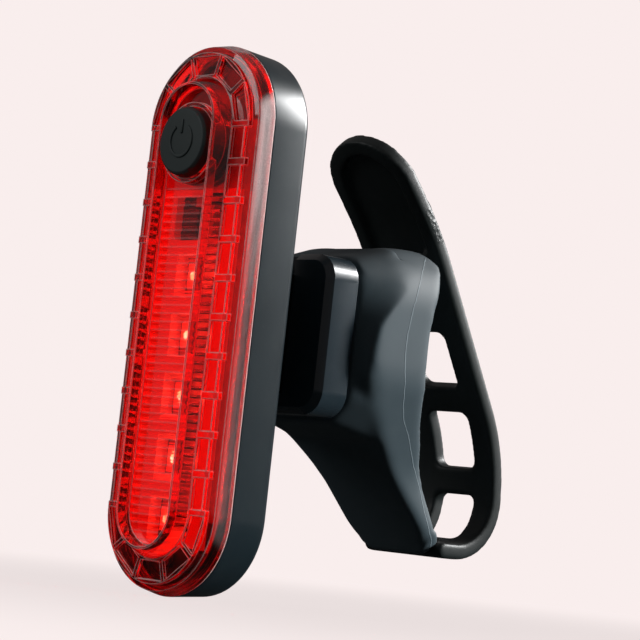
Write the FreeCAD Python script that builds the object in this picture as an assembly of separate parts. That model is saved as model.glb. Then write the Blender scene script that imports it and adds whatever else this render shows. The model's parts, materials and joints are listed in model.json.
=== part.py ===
import FreeCAD, Part
import math
import os

# A rechargeable bicycle tail light on a silicone strap mount, in millimetres.
# X runs across the light, +Y points from the lens towards the tube that the light is strapped to,
# and +Z points up. The origin lies on the saddle's hollow seat face, where the tube touches it.

V = FreeCAD.Vector
ALONG_X = V(1, 0, 0)
ALONG_Y = V(0, 1, 0)
ALONG_Z = V(0, 0, 1)

# Mount: saddle, strap and socket
SEAT_RADIUS = 20.0           # hollow face that lies on the tube
SEAT_TOP_Z = 11.6            # where the hollow ends above
SEAT_LOW_Z = -10.3           # where the hollow runs into the straight lower wing
SADDLE_DEPTH = 12.3          # seat face to the flat pad behind the socket
SADDLE_HALF_WIDTH = 13.6
SADDLE_TOP_Z = 14.0
SADDLE_SHOULDER = 8.6        # radius of its upper corners from the front
SADDLE_WAIST_Z = -5.0        # where its sides begin to draw in, from the front
SADDLE_WAIST_ROUND = 9.0
SADDLE_NECK_Z = -17.5        # where they reach the strap's width
SADDLE_NECK_ROUND = 10.0
WING_SET = 1.1               # wings' front behind the pad
WING_HIGH_Z = 3.5
WING_HIGH_ROUND = 8.0
WING_LOW_Z = -4.0
WING_LOW_ROUND = 6.0
BROW_SET = 8.3               # brow above the socket, behind the pad
BROW_Z = 11.6
BROW_ROUND = 5.0
CREST_Y = 1.5
CREST_ROUND = 3.0
SEAT_LIP = 1.6
SEAT_LIP_ROUND = 1.2
THROAT_SET = 7.6             # below the socket, behind the pad
THROAT_Z = -12.6
THROAT_ROUND = 6.0
KNEE_Y = 2.0
KNEE_Z = -19.0
KNEE_ROUND = 8.0
TIP_RUN = 0.9
TIP_ROUND = 2.0
PAD_DEPTH = 9.0              # how far the pad's block runs back into the wings
PAD_HALF_WIDTH = 10.6
PAD_HALF_HEIGHT = 11.5
PAD_HALF_CORNER = 13.2       # centre to the block's cut corners
PAD_SIDE_FLARE = 3.25        # how much wider the block gets over its depth
PAD_END_FLARE = 2.1
PAD_CORNER_FLARE = 2.7
SADDLE_CORE_SIZE = 15.0      # stiff plate inside the silicone
SADDLE_CORE_DEPTH = 2.0
SADDLE_CORE_COVER = 1.1      # silicone between the pad face and the plate
SKIN_GAP = 0.05              # round parts that are moulded in or glued in

STRAP_WIDTH = 15.5
STRAP_THICKNESS = 2.2
STRAP_ROOT_Y = 13.3          # hinge line where the strap leaves the saddle's tip
STRAP_ROOT_Z = -27.4
STRAP_ROOT_GAP = 0.15
STRAP_SWING = 76.0           # degrees that the strap's foot may turn down past the saddle's tip
STRAP_FOOT = 2.6             # straight run under the tube
STRAP_BEND_RADIUS = 7.4
STRAP_BACK_RADIUS = 26.0
STRAP_BACK_LEAN = 31.0       # degrees from upright
STRAP_BACK_LENGTH = 22.6
STRAP_TAB_RADIUS = 50.0
STRAP_TAB_LEAN = 42.0
STRAP_TAB_LENGTH = 12.0
WINDOW_WIDTH = 7.7
WINDOW_LENGTH = 8.8
WINDOW_PITCH = 12.9
WINDOW_LAST = 45.2           # start of the one that takes the hook, along the strap from its root
WINDOW_COUNT = 4
WINDOW_CORNER = 0.8          # cut off each corner
TAB_RIM = 2.4                # round the shallow recess in the tab
TAB_RECESS_DEPTH = 1.1
TAB_RECESS_LENGTH = 16.6
GRIP_RADIUS = 4.0            # ridge for the thumb on the tab's outer face
GRIP_HEIGHT = 2.3
GRIP_HALF_WIDTH = 6.2
GRIP_FROM_END = 13.4
HORN_WIDTH = 5.4             # hook that stands in the strap's last window
HORN_ROOT = 8.0              # how far its post runs back into the saddle
HORN_THICKNESS = 2.6
HORN_HEAD_WIDTH = 6.6
HORN_HEAD_RISE = 1.0
HORN_HEAD_LENGTH = 1.6
HORN_GAP = 0.6               # between the strap's outer face and the hook's head
HORN_SET_BACK = 1.2          # hook centre above the middle of its window, along the strap

SOCKET_WIDTH = 21.6
SOCKET_HEIGHT = 22.0
SOCKET_DEPTH = 5.4
SOCKET_CORNER = 3.5
SOCKET_BEVEL = 0.9
SOCKET_FRONT_WALL = 1.5
SOCKET_CHAMBER = 1.9         # depth of the slot that takes the clip's head
SWIVEL_GAP = 0.3             # socket to pad
CLIP_GAP = 0.15              # clip to slot, all round
PIVOT_GAP = 0.05
PIVOT_HEAD_RADIUS = 3.3
PIVOT_HEAD_HEIGHT = 1.0
PIVOT_RADIUS = 2.0
PIVOT_THREAD_LENGTH = 2.6
WASHER_RADIUS = 6.0
WASHER_THICKNESS = 0.5

# Light: overall
LIGHT_SPAN = 51.6            # between the centres of the two round ends
CLIP_REACH = 6.6             # light's back to the socket's face
LIGHT_DEPTH = 12.6           # ridge of the lens to the back of the housing
JOINT_DEPTH = 5.6            # ridge to the lens's rear edge
JOINT_GAP = 0.1

# Lens, as radii of stadium outlines and depths behind the ridge
BASE_RADIUS = 11.4
SHOULDER_INSET = 0.6
BAND_OUTER_INSET = 2.1
BAND_INNER_INSET = 4.8
RIDGE_SLOPE = 1.15
RIDGE_WIDTH = 0.3
RECESS_SLOPE = 0.3
SHOULDER_RADIUS = BASE_RADIUS - SHOULDER_INSET
SHOULDER_DEPTH = 3.2
BAND_OUTER_RADIUS = BASE_RADIUS - BAND_OUTER_INSET
BAND_INNER_RADIUS = BASE_RADIUS - BAND_INNER_INSET
BAND_DEPTH = 2.3
BAND_STEP = 0.55
RIDGE_OUTER_RADIUS = BAND_INNER_RADIUS - RIDGE_SLOPE
RIDGE_INNER_RADIUS = RIDGE_OUTER_RADIUS - RIDGE_WIDTH
RECESS_RADIUS = RIDGE_INNER_RADIUS - RECESS_SLOPE
RECESS_DEPTH = 1.8
LENS_WALL = 1.2
LENS_FLOOR_RADIUS = BAND_INNER_RADIUS - LENS_WALL / 2
BLOCKS_PER_SIDE = 10
BLOCKS_PER_END = 5
BAR_WIDTH = 0.95             # bars between the pockets of the castellated band
END_BAR_WIDTH = 0.6
BAR_REACH = 0.6              # how far the bars stand out past the band
POCKET_DEPTH = 0.45
POCKET_RIM = 0.2
RIB_PITCH = 1.12             # fine prisms behind the recess floor
RIB_DEPTH = 0.15

# Housing and what it holds
HOUSING_TAPER = 0.5
HOUSING_BACK_RADIUS = BASE_RADIUS - HOUSING_TAPER
HOUSING_WALL = 1.4
HOUSING_ROUND = 1.2
RIM_WALL = 0.8
SEAL_WIDTH = 0.6
SEAL_HEIGHT = 0.56
SEAL_SEAT_DEPTH = 1.0
TONGUE_HEIGHT = 0.4
BOARD_MARGIN = 0.8
BOARD_RADIUS = BASE_RADIUS - RIM_WALL - SEAL_WIDTH - BOARD_MARGIN
BOARD_THICKNESS = 1.0
POST_SIZE = 3.6
POST_OUT = 6.4               # past the centres of the round ends
POST_Z = LIGHT_SPAN / 2 + POST_OUT
BOARD_SCREW_RADIUS = 0.8
BOARD_SCREW_HEAD_RADIUS = 1.4
BOARD_SCREW_HEAD = 0.8
BOARD_SCREW_LENGTH = 4.0
SCREW_GAP = 0.05

BUTTON_IN = 2.6              # below the centre of the upper round end
BUTTON_Z = LIGHT_SPAN / 2 - BUTTON_IN
BUTTON_GAP = 0.2
BUTTON_RADIUS = RECESS_RADIUS - BUTTON_GAP
BUTTON_FLANGE = 0.9
BUTTON_PROUD = 0.7
BUTTON_EDGE = 0.35
BUTTON_SKIN = 1.6
BUTTON_WALL = 0.75
BUTTON_FLANGE_THICKNESS = 0.5
BUTTON_TRAVEL = 0.5

LED_COUNT = 5
LED_WIDTH = 2.8
LED_LENGTH = 3.5
LED_HEIGHT = 0.75
FRAME_MARGIN = 1.9
FRAME_GAP = 0.3
FRAME_HALF_WIDTH = BOARD_RADIUS - FRAME_MARGIN               # white reflector round the lamps
FRAME_TOP_Z = BUTTON_Z - BUTTON_RADIUS - BUTTON_FLANGE - FRAME_GAP
FRAME_BOTTOM_Z = BOARD_SCREW_HEAD_RADIUS + FRAME_GAP - POST_Z
FRAME_THICKNESS = 1.3
FRAME_WINDOW_HALF = 3.2
FRAME_WINDOW_LENGTH = 6.0
FRAME_WINDOW_TAPER = 0.8
FRAME_RIM = 0.6
COMB_WIDTH = 1.3
COMB_X = COMB_WIDTH - FRAME_HALF_WIDTH                      # row of slots beside the lamps
COMB_BRIDGE = 0.8
CHIP_WINDOW_LENGTH = 6.2
CHIP_WINDOW_HIGH_Z = FRAME_TOP_Z - COMB_BRIDGE              # opening over the driver chip
CHIP_WINDOW_LOW_Z = CHIP_WINDOW_HIGH_Z - CHIP_WINDOW_LENGTH
CHIP_WINDOW_LEFT_X = COMB_X + COMB_WIDTH / 2 + COMB_BRIDGE
CHIP_WINDOW_RIGHT_X = 1.6
SIDE_SLOT_X = 3.7                                           # wider slot beside the driver chip
SIDE_SLOT_WIDTH = 3.0
LED_BOTTOM_Z = FRAME_BOTTOM_Z + FRAME_RIM + FRAME_WINDOW_LENGTH / 2
LED_TOP_Z = CHIP_WINDOW_LOW_Z - 2 * COMB_BRIDGE - FRAME_WINDOW_LENGTH / 2
LED_PITCH = (LED_TOP_Z - LED_BOTTOM_Z) / (LED_COUNT - 1)
DRIVER_WIDTH = 2.4
DRIVER_HEIGHT = 1.1
DRIVER_LENGTH = 4.0
DRIVER_EDGE = 0.5
RESISTOR_WIDTH = 0.8
RESISTOR_HEIGHT = 0.5
RESISTOR_LENGTH = 1.4
RESISTOR_PITCH = 1.9
RESISTOR_EDGE = 0.9
CHARGER_SIZE = 3.0
CHARGER_HEIGHT = 1.0
CHARGER_GAP = 1.9            # below the port

COLLAR_WALL = 0.6
COLLAR_DEPTH = 0.9
SWITCH_SIZE = 5.2
SWITCH_HEIGHT = 1.9
PLUNGER_RADIUS = 1.7
PLUNGER_PROUD = 0.7
PLUNGER_LENGTH = 1.6
STEM_RADIUS = 1.2
TOUCH_GAP = 0.1

PORT_IN = 7.3                # above the centre of the lower round end
PORT_Z = PORT_IN - LIGHT_SPAN / 2
PORT_WIDTH = 7.6
BATTERY_SIDE_ROOM = 3.4
BATTERY_END_ROOM = 14.6
BATTERY_PORT_GAP = 3.2
BATTERY_WIDTH = 2 * (BASE_RADIUS - BATTERY_SIDE_ROOM)
BATTERY_LENGTH = LIGHT_SPAN - BATTERY_END_ROOM
BATTERY_THICKNESS = 2.8
BATTERY_BOTTOM_Z = PORT_Z + PORT_WIDTH / 2 + BATTERY_PORT_GAP
BATTERY_BOARD_GAP = 0.6
BATTERY_CORNER = 0.9
PAD_WIDTH = 11.0
PAD_LENGTH = 10.0
TAB_WIDTH = 2.0
TAB_THICKNESS = 0.2
TAB_SPREAD = 3.0
TAB_BEND = 0.6
TAB_RUN = 1.6

PORT_HEIGHT = 2.7
PORT_LENGTH = 5.4
PORT_WALL = 0.25
PORT_MOUTH_DEPTH = 1.4
PORT_MOUTH_X = PORT_MOUTH_DEPTH - BASE_RADIUS
PORT_SLOT_GAP = 0.3
COVER_LENGTH = 12.4
COVER_HEIGHT = 3.4
COVER_THICKNESS = 0.55
COVER_GAP = 0.2
COVER_FLOOR_DEPTH = 0.65
COVER_FLOOR_X = COVER_FLOOR_DEPTH - BASE_RADIUS
COVER_STUB = 1.05
COVER_STUB_GAP = 0.3

CLIP_WIDTH = 15.0
CLIP_HEIGHT = 24.0
CLIP_PLATE = 1.2
CLIP_NECK = 7.0
CLIP_HEAD_WIDTH = 12.4
CLIP_LENGTH = 16.0
CLIP_SCREW_RADIUS = 0.95
CLIP_SCREW_HEAD_RADIUS = 1.8
CLIP_SCREW_HEAD = 0.9
CLIP_SCREW_LENGTH = 4.8
CLIP_SCREW_Z = 5.6

# Planes that the pieces share, from the seat face forward
PAD_Y = -SADDLE_DEPTH
SOCKET_BACK_Y = PAD_Y - SWIVEL_GAP
SOCKET_FACE_Y = SOCKET_BACK_Y - SOCKET_DEPTH
BACK_Y = SOCKET_FACE_Y - CLIP_REACH
RIDGE_Y = BACK_Y - LIGHT_DEPTH
JOINT_Y = RIDGE_Y + JOINT_DEPTH
RIM_Y = JOINT_Y + JOINT_GAP
RECESS_Y = RIDGE_Y + RECESS_DEPTH
LENS_BACK_Y = RECESS_Y + LENS_WALL
SEAL_SEAT_Y = RIM_Y + SEAL_SEAT_DEPTH - JOINT_GAP
BOARD_Y = JOINT_Y
BOARD_BACK_Y = BOARD_Y + BOARD_THICKNESS
FLOOR_Y = BACK_Y - HOUSING_WALL
CAVITY_RADIUS = HOUSING_BACK_RADIUS - HOUSING_WALL
CHAMBER_Y = SOCKET_FACE_Y + SOCKET_FRONT_WALL
CHAMBER_BACK_Y = CHAMBER_Y + SOCKET_CHAMBER
SLOT_BOTTOM_Z = -CLIP_LENGTH / 2 - CLIP_GAP


def polygon(corners, place):
    """A face from (u, v, radius) corners, each rounded by its radius, laid out by place(u, v)."""
    edges = []
    ends = []
    count = len(corners)
    for i in range(count):
        u, v, radius = corners[i]
        before = corners[i - 1]
        after = corners[(i + 1) % count]
        if radius == 0:
            ends.append(((u, v), (u, v), None))
            continue
        a = math.hypot(before[0] - u, before[1] - v)
        b = math.hypot(after[0] - u, after[1] - v)
        p = ((before[0] - u) / a, (before[1] - v) / a)
        q = ((after[0] - u) / b, (after[1] - v) / b)
        turn = math.acos(max(-1.0, min(1.0, p[0] * q[0] + p[1] * q[1])))
        back = radius / math.tan(turn / 2)
        bisector = (p[0] + q[0], p[1] + q[1])
        size = math.hypot(*bisector)
        to_arc = radius / math.sin(turn / 2) - radius
        middle = (u + bisector[0] / size * to_arc, v + bisector[1] / size * to_arc)
        ends.append(((u + p[0] * back, v + p[1] * back), (u + q[0] * back, v + q[1] * back), middle))
    for i in range(count):
        start, stop, middle = ends[i]
        if middle is not None:
            edges.append(Part.Arc(place(*start), place(*middle), place(*stop)).toShape())
        following = ends[(i + 1) % count][0]
        if math.hypot(following[0] - stop[0], following[1] - stop[1]) > 1e-6:
            edges.append(Part.LineSegment(place(*stop), place(*following)).toShape())
    return Part.Face(Part.Wire(edges))


def fused(shapes):
    """One solid from several that overlap or meet."""
    first = shapes[0]
    if len(shapes) == 1:
        return first
    return first.multiFuse(shapes[1:]).removeSplitter()


def box(x0, x1, y0, y1, z0, z1):
    """A block between two corners."""
    return Part.makeBox(x1 - x0, y1 - y0, z1 - z0, V(x0, y0, z0))


def rod(radius, x, y, z, length, along=ALONG_Y):
    """A cylinder that starts at a point and runs along an axis."""
    return Part.makeCylinder(radius, length, V(x, y, z), along)


def stadium(profile):
    """A half section of (radius, y, corner radius) carried round the light's stadium outline."""
    half = LIGHT_SPAN / 2
    face = polygon(profile, lambda u, v: V(u, v, 0))
    side = face.copy()
    side.translate(V(0, 0, -half))
    right = side.extrude(V(0, 0, LIGHT_SPAN))
    left = right.mirror(V(0, 0, 0), ALONG_X)
    bottom = side.revolve(V(0, 0, -half), ALONG_Y, 180)
    top = face.copy()
    top.translate(V(0, 0, half))
    top = top.revolve(V(0, 0, half), ALONG_Y, -180)
    return fused([right, left, bottom, top])


def rounded_block(width, height, corner, y0, y1, x=0.0, z=0.0):
    """A block along Y with rounded corners, centred on x and z."""
    w, h = width / 2, height / 2
    corners = [(x - w, z - h, corner), (x + w, z - h, corner), (x + w, z + h, corner), (x - w, z + h, corner)]
    return polygon(corners, lambda u, v: V(u, y0, v)).extrude(V(0, y1 - y0, 0))


# Lens

def round_the_band(section, places, half_length, end_places, half_angle):
    """Copies of a section, each a short run along the straight sides or a short turn round the ends."""
    half = LIGHT_SPAN / 2
    face = polygon(section, lambda u, v: V(u, v, 0))
    shapes = []
    for z in places:
        run = face.copy()
        run.translate(V(0, 0, z - half_length))
        run = run.extrude(V(0, 0, 2 * half_length))
        shapes.append(run)
        shapes.append(run.mirror(V(0, 0, 0), ALONG_X))
    for angle in end_places:
        turn = face.revolve(V(0, 0, 0), ALONG_Y, 2 * half_angle)
        turn.rotate(V(0, 0, 0), ALONG_Y, -angle - half_angle)
        upper = turn.copy()
        upper.translate(V(0, 0, half))
        shapes.append(upper)
        shapes.append(upper.mirror(V(0, 0, 0), ALONG_Z))
    return shapes


def make_lens():
    """Clear cover: ribbed recess, sharp ridge, castellated band, shoulder and the tongue on its seal."""
    tongue_inner = BASE_RADIUS - RIM_WALL - SEAL_WIDTH + SKIN_GAP
    tongue_outer = BASE_RADIUS - RIM_WALL - SKIN_GAP
    band_y = RIDGE_Y + BAND_DEPTH
    step_y = band_y + BAND_STEP
    body = stadium([
        (0, RECESS_Y, 0),
        (RECESS_RADIUS, RECESS_Y, 0),
        (RIDGE_INNER_RADIUS, RIDGE_Y, 0),
        (RIDGE_OUTER_RADIUS, RIDGE_Y, 0),
        (BAND_INNER_RADIUS, band_y, 0),
        (BAND_OUTER_RADIUS, band_y, 0),
        (BAND_OUTER_RADIUS, step_y, 0),
        (SHOULDER_RADIUS, RIDGE_Y + SHOULDER_DEPTH, 0),
        (BASE_RADIUS, JOINT_Y, 0),
        (tongue_outer, JOINT_Y, 0),
        (tongue_outer, JOINT_Y + TONGUE_HEIGHT, 0),
        (tongue_inner, JOINT_Y + TONGUE_HEIGHT, 0),
        (tongue_inner, JOINT_Y - LENS_WALL, 0),
        (LENS_FLOOR_RADIUS, LENS_BACK_Y, 0),
        (0, LENS_BACK_Y, 0),
    ])
    reach = BAND_OUTER_RADIUS + BAR_REACH
    body = fused([body] + make_bars(band_y, reach)).cut(Part.Compound(make_pockets(band_y, reach)))
    body = body.cut(make_rib_cutter())
    collar = rod(BUTTON_RADIUS + BUTTON_GAP + COLLAR_WALL, 0, RIDGE_Y + COLLAR_DEPTH, BUTTON_Z,
                 LENS_BACK_Y - RIDGE_Y - COLLAR_DEPTH)
    hole = rod(BUTTON_RADIUS + BUTTON_GAP, 0, RIDGE_Y - 1, BUTTON_Z, LENS_BACK_Y - RIDGE_Y + 2)
    return body.fuse(collar).removeSplitter().cut(hole)


def make_bars(band_y, reach):
    """Bars that stand out past the band's sides, and the wider band round the two ends."""
    section = [
        (BAND_OUTER_RADIUS - POCKET_RIM, band_y, 0),
        (reach, band_y, 0),
        (reach, band_y + BAND_STEP + POCKET_RIM, 0),
        (BAND_OUTER_RADIUS - POCKET_RIM, band_y + BAND_STEP + POCKET_RIM, 0),
    ]
    pitch = LIGHT_SPAN / BLOCKS_PER_SIDE
    places = [pitch * i - LIGHT_SPAN / 2 for i in range(1, BLOCKS_PER_SIDE)]
    last = LIGHT_SPAN / 2 - BAR_WIDTH / 4
    bars = round_the_band(section, places, BAR_WIDTH / 2, [90], 90)
    return bars + round_the_band(section, [-last, last], BAR_WIDTH / 4, [], 0)


def make_pockets(band_y, reach):
    """Shallow pockets between the bars, long ones down the sides and wedges round the ends."""
    pitch = LIGHT_SPAN / BLOCKS_PER_SIDE
    places = [pitch * (i + 0.5) - LIGHT_SPAN / 2 for i in range(BLOCKS_PER_SIDE)]
    inner = BAND_INNER_RADIUS + POCKET_RIM
    outer = BAND_OUTER_RADIUS - POCKET_RIM
    floor = band_y + POCKET_DEPTH
    section = [(inner, band_y - 1, 0), (outer, band_y - 1, 0), (outer, floor, 0), (inner, floor, 0)]
    straight = round_the_band(section, places, (pitch - BAR_WIDTH) / 2, [], 0)
    return straight + make_wedges(floor, inner, reach - POCKET_RIM)


def make_wedges(floor, inner, outer):
    """Pockets round the two ends, with straight edges and bars of one width between them."""
    angle = math.pi / BLOCKS_PER_END
    inner_turn = angle / 2 - math.asin(END_BAR_WIDTH / 2 / inner)
    outer_turn = angle / 2 - math.asin(END_BAR_WIDTH / 2 / outer)
    inner = inner / math.cos(inner_turn)
    wedges = []
    for i in range(BLOCKS_PER_END):
        middle = angle * (i + 0.5)
        places = [(inner, middle - inner_turn), (outer, middle - outer_turn),
                  (outer, middle + outer_turn), (inner, middle + inner_turn)]
        corners = [(r * math.cos(a), LIGHT_SPAN / 2 + r * math.sin(a), 0) for r, a in places]
        wedge = polygon(corners, lambda u, v: V(u, floor, v)).extrude(V(0, -1 - POCKET_DEPTH, 0))
        wedges.append(wedge)
        wedges.append(wedge.mirror(V(0, 0, 0), ALONG_Z))
    return wedges


def make_rib_cutter():
    """The air between the fine prisms on the back of the recess floor."""
    top = BUTTON_Z - BUTTON_RADIUS - BUTTON_FLANGE - 1.0
    bottom = -LIGHT_SPAN / 2 - RECESS_RADIUS / 2
    count = int((top - bottom) / RIB_PITCH)
    corners = [(LENS_BACK_Y + 0.5, bottom, 0)]
    for i in range(count):
        z = bottom + i * RIB_PITCH
        corners.append((LENS_BACK_Y, z, 0))
        corners.append((LENS_BACK_Y - RIB_DEPTH, z + RIB_PITCH / 2, 0))
    corners.append((LENS_BACK_Y, bottom + count * RIB_PITCH, 0))
    corners.append((LENS_BACK_Y + 0.5, bottom + count * RIB_PITCH, 0))
    face = polygon(corners, lambda u, v: V(-LENS_FLOOR_RADIUS, u, v))
    return face.extrude(V(2 * LENS_FLOOR_RADIUS, 0, 0))


# Housing and the parts inside

def make_seal():
    """Rubber ring under the lens's tongue."""
    outer = BASE_RADIUS - RIM_WALL - SKIN_GAP
    inner = BASE_RADIUS - RIM_WALL - SEAL_WIDTH + SKIN_GAP
    return stadium([
        (inner, SEAL_SEAT_Y - SEAL_HEIGHT, 0),
        (outer, SEAL_SEAT_Y - SEAL_HEIGHT, 0),
        (outer, SEAL_SEAT_Y, 0),
        (inner, SEAL_SEAT_Y, 0),
    ])


def make_housing():
    """Deep tray with a seal ledge, screw posts, and the port's slot and cover recess."""
    ledge = BASE_RADIUS - RIM_WALL
    body = stadium([
        (0, FLOOR_Y, 0),
        (CAVITY_RADIUS, FLOOR_Y, 0),
        (CAVITY_RADIUS, SEAL_SEAT_Y, 0),
        (ledge, SEAL_SEAT_Y, 0),
        (ledge, RIM_Y, 0),
        (BASE_RADIUS, RIM_Y, 0),
        (HOUSING_BACK_RADIUS + 0.1, BACK_Y - HOUSING_ROUND, 0),
        (HOUSING_BACK_RADIUS - HOUSING_ROUND, BACK_Y, 0),
        (0, BACK_Y, 0),
    ])
    half = POST_SIZE / 2
    posts = [box(-half, half, BOARD_BACK_Y, FLOOR_Y + 0.5, z - half, z + half) for z in (POST_Z, -POST_Z)]
    body = fused([body] + posts)
    holes = [
        rod(BOARD_SCREW_RADIUS + SCREW_GAP, 0, BOARD_BACK_Y - 1, z,
            BOARD_SCREW_LENGTH - BOARD_THICKNESS + 1 + TOUCH_GAP)
        for z in (POST_Z, -POST_Z)
    ]
    holes += [
        rod(CLIP_SCREW_RADIUS + SCREW_GAP, 0, FLOOR_Y - 1, z, HOUSING_WALL + 2)
        for z in (CLIP_SCREW_Z, -CLIP_SCREW_Z)
    ]
    y = BOARD_BACK_Y + PORT_HEIGHT / 2
    half_width = PORT_WIDTH / 2 + PORT_SLOT_GAP
    half_height = PORT_HEIGHT / 2 + PORT_SLOT_GAP
    slot = box(-BASE_RADIUS, -CAVITY_RADIUS + 1, y - half_height, y + half_height,
               PORT_Z - half_width, PORT_Z + half_width)
    cover = COVER_LENGTH / 2 + COVER_GAP
    tall = COVER_HEIGHT / 2 + COVER_GAP
    recess = box(-BASE_RADIUS - 1, COVER_FLOOR_X, y - tall, y + tall, PORT_Z - cover, PORT_Z + cover)
    return body.cut(Part.Compound(holes + [slot, recess]))


def make_board():
    """Circuit board on the housing's two posts, cut in straight facets round its ends."""
    half = LIGHT_SPAN / 2
    turns = [math.pi / 4 * i for i in range(5)]
    upper = [(BOARD_RADIUS * math.cos(a), half + BOARD_RADIUS * math.sin(a), 0) for a in turns]
    lower = [(-u, -v, 0) for u, v, radius in upper]
    board = polygon(upper + lower, lambda u, v: V(u, BOARD_Y, v)).extrude(V(0, BOARD_THICKNESS, 0))
    radius = BOARD_SCREW_RADIUS + 2 * SCREW_GAP
    holes = [rod(radius, 0, BOARD_Y - 1, z, BOARD_THICKNESS + 2) for z in (POST_Z, -POST_Z)]
    return board.cut(Part.Compound(holes))


def make_board_screws():
    """Two small screws that hold the board."""
    screws = []
    for z in (POST_Z, -POST_Z):
        head = rod(BOARD_SCREW_HEAD_RADIUS, 0, BOARD_Y - BOARD_SCREW_HEAD, z, BOARD_SCREW_HEAD)
        shank = rod(BOARD_SCREW_RADIUS, 0, BOARD_Y, z, BOARD_SCREW_LENGTH)
        screws.append(fused([head, shank]))
    return screws


def lamp_places():
    """Heights of the lamps along the board, from the lowest."""
    return [LED_BOTTOM_Z + LED_PITCH * i for i in range(LED_COUNT)]


def make_lamps():
    """Row of surface-mounted lamps."""
    w, h = LED_WIDTH / 2, LED_LENGTH / 2
    return [box(-w, w, BOARD_Y - LED_HEIGHT, BOARD_Y, z - h, z + h) for z in lamp_places()]


def make_reflector():
    """Frame round the lamps, with flared windows and a row of narrow slots beside them."""
    front = BOARD_Y - FRAME_THICKNESS
    frame = box(-FRAME_HALF_WIDTH, FRAME_HALF_WIDTH, front, BOARD_Y, FRAME_BOTTOM_Z, FRAME_TOP_Z)
    cuts = []
    for z in lamp_places():
        wide, tall = FRAME_WINDOW_HALF, FRAME_WINDOW_LENGTH / 2
        cuts.append(flared_window(z, wide, tall, front))
        cuts.append(slot(COMB_X, COMB_WIDTH, front, z - LED_PITCH / 2 + COMB_BRIDGE, z + LED_PITCH / 2))
    low, high = CHIP_WINDOW_LOW_Z, CHIP_WINDOW_HIGH_Z
    middle = (CHIP_WINDOW_LEFT_X + CHIP_WINDOW_RIGHT_X) / 2
    cuts.append(slot(middle, CHIP_WINDOW_RIGHT_X - CHIP_WINDOW_LEFT_X, front, low, high))
    cuts.append(slot(COMB_X, COMB_WIDTH, front, low, high))
    cuts.append(slot(SIDE_SLOT_X, SIDE_SLOT_WIDTH, front, low, high))
    return frame.cut(Part.Compound(cuts))


def flared_window(z, wide, tall, front):
    """What is cut from the reflector over one lamp, wider at its front."""
    narrow, short = wide - FRAME_WINDOW_TAPER, tall - FRAME_WINDOW_TAPER
    slope = FRAME_WINDOW_TAPER / FRAME_THICKNESS * 0.01
    ends = [(z - tall - slope, z + tall + slope, wide + slope, front - 0.01),
            (z - short + slope, z + short - slope, narrow - slope, BOARD_Y + 0.01)]
    across = polygon([(-ends[0][2], ends[0][3], 0), (ends[0][2], ends[0][3], 0),
                      (ends[1][2], ends[1][3], 0), (-ends[1][2], ends[1][3], 0)],
                     lambda u, v: V(u, v, z - tall - 1)).extrude(V(0, 0, 2 * tall + 2))
    along = polygon([(ends[0][3], ends[0][0], 0), (ends[0][3], ends[0][1], 0),
                     (ends[1][3], ends[1][1], 0), (ends[1][3], ends[1][0], 0)],
                    lambda u, v: V(-wide - 1, u, v)).extrude(V(2 * wide + 2, 0, 0))
    return across.common(along)


def slot(x, width, front, low, high):
    """A slot through the reflector between two heights."""
    return box(x - width / 2, x + width / 2, front - 1, BOARD_Y + 1, low, high)


def make_driver():
    """Lamp driver chip on the board's face, under the button."""
    half = DRIVER_WIDTH / 2
    middle = (CHIP_WINDOW_LEFT_X + CHIP_WINDOW_RIGHT_X) / 2
    low = CHIP_WINDOW_LOW_Z + DRIVER_EDGE
    return box(middle - half, middle + half, BOARD_Y - DRIVER_HEIGHT, BOARD_Y, low, low + DRIVER_LENGTH)


def make_resistors():
    """Small resistors and capacitors beside the driver chip."""
    wide, tall = RESISTOR_WIDTH / 2, RESISTOR_LENGTH / 2
    pieces = []
    for x in (CHIP_WINDOW_LEFT_X + RESISTOR_EDGE, CHIP_WINDOW_RIGHT_X - RESISTOR_EDGE):
        for i in range(3):
            z = CHIP_WINDOW_LOW_Z + RESISTOR_EDGE + RESISTOR_PITCH * i
            pieces.append(box(x - wide, x + wide, BOARD_Y - RESISTOR_HEIGHT, BOARD_Y, z - tall, z + tall))
    return pieces


def make_charger():
    """Charging chip on the back of the board."""
    half = CHARGER_SIZE / 2
    top = PORT_Z - PORT_WIDTH / 2 - CHARGER_GAP
    return box(-half, half, BOARD_BACK_Y, BOARD_BACK_Y + CHARGER_HEIGHT, top - CHARGER_SIZE, top)


def make_switch_body():
    """Square push switch with a round well for its plunger."""
    half = SWITCH_SIZE / 2
    front = BOARD_Y - SWITCH_HEIGHT
    body = box(-half, half, front, BOARD_Y, BUTTON_Z - half, BUTTON_Z + half)
    depth = PLUNGER_LENGTH - PLUNGER_PROUD + BUTTON_TRAVEL + TOUCH_GAP
    return body.cut(rod(PLUNGER_RADIUS + PIVOT_GAP, 0, front, BUTTON_Z, depth))


def make_plunger():
    """Plunger of the push switch."""
    front = BOARD_Y - SWITCH_HEIGHT - PLUNGER_PROUD
    return rod(PLUNGER_RADIUS, 0, front, BUTTON_Z, PLUNGER_LENGTH)


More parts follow.
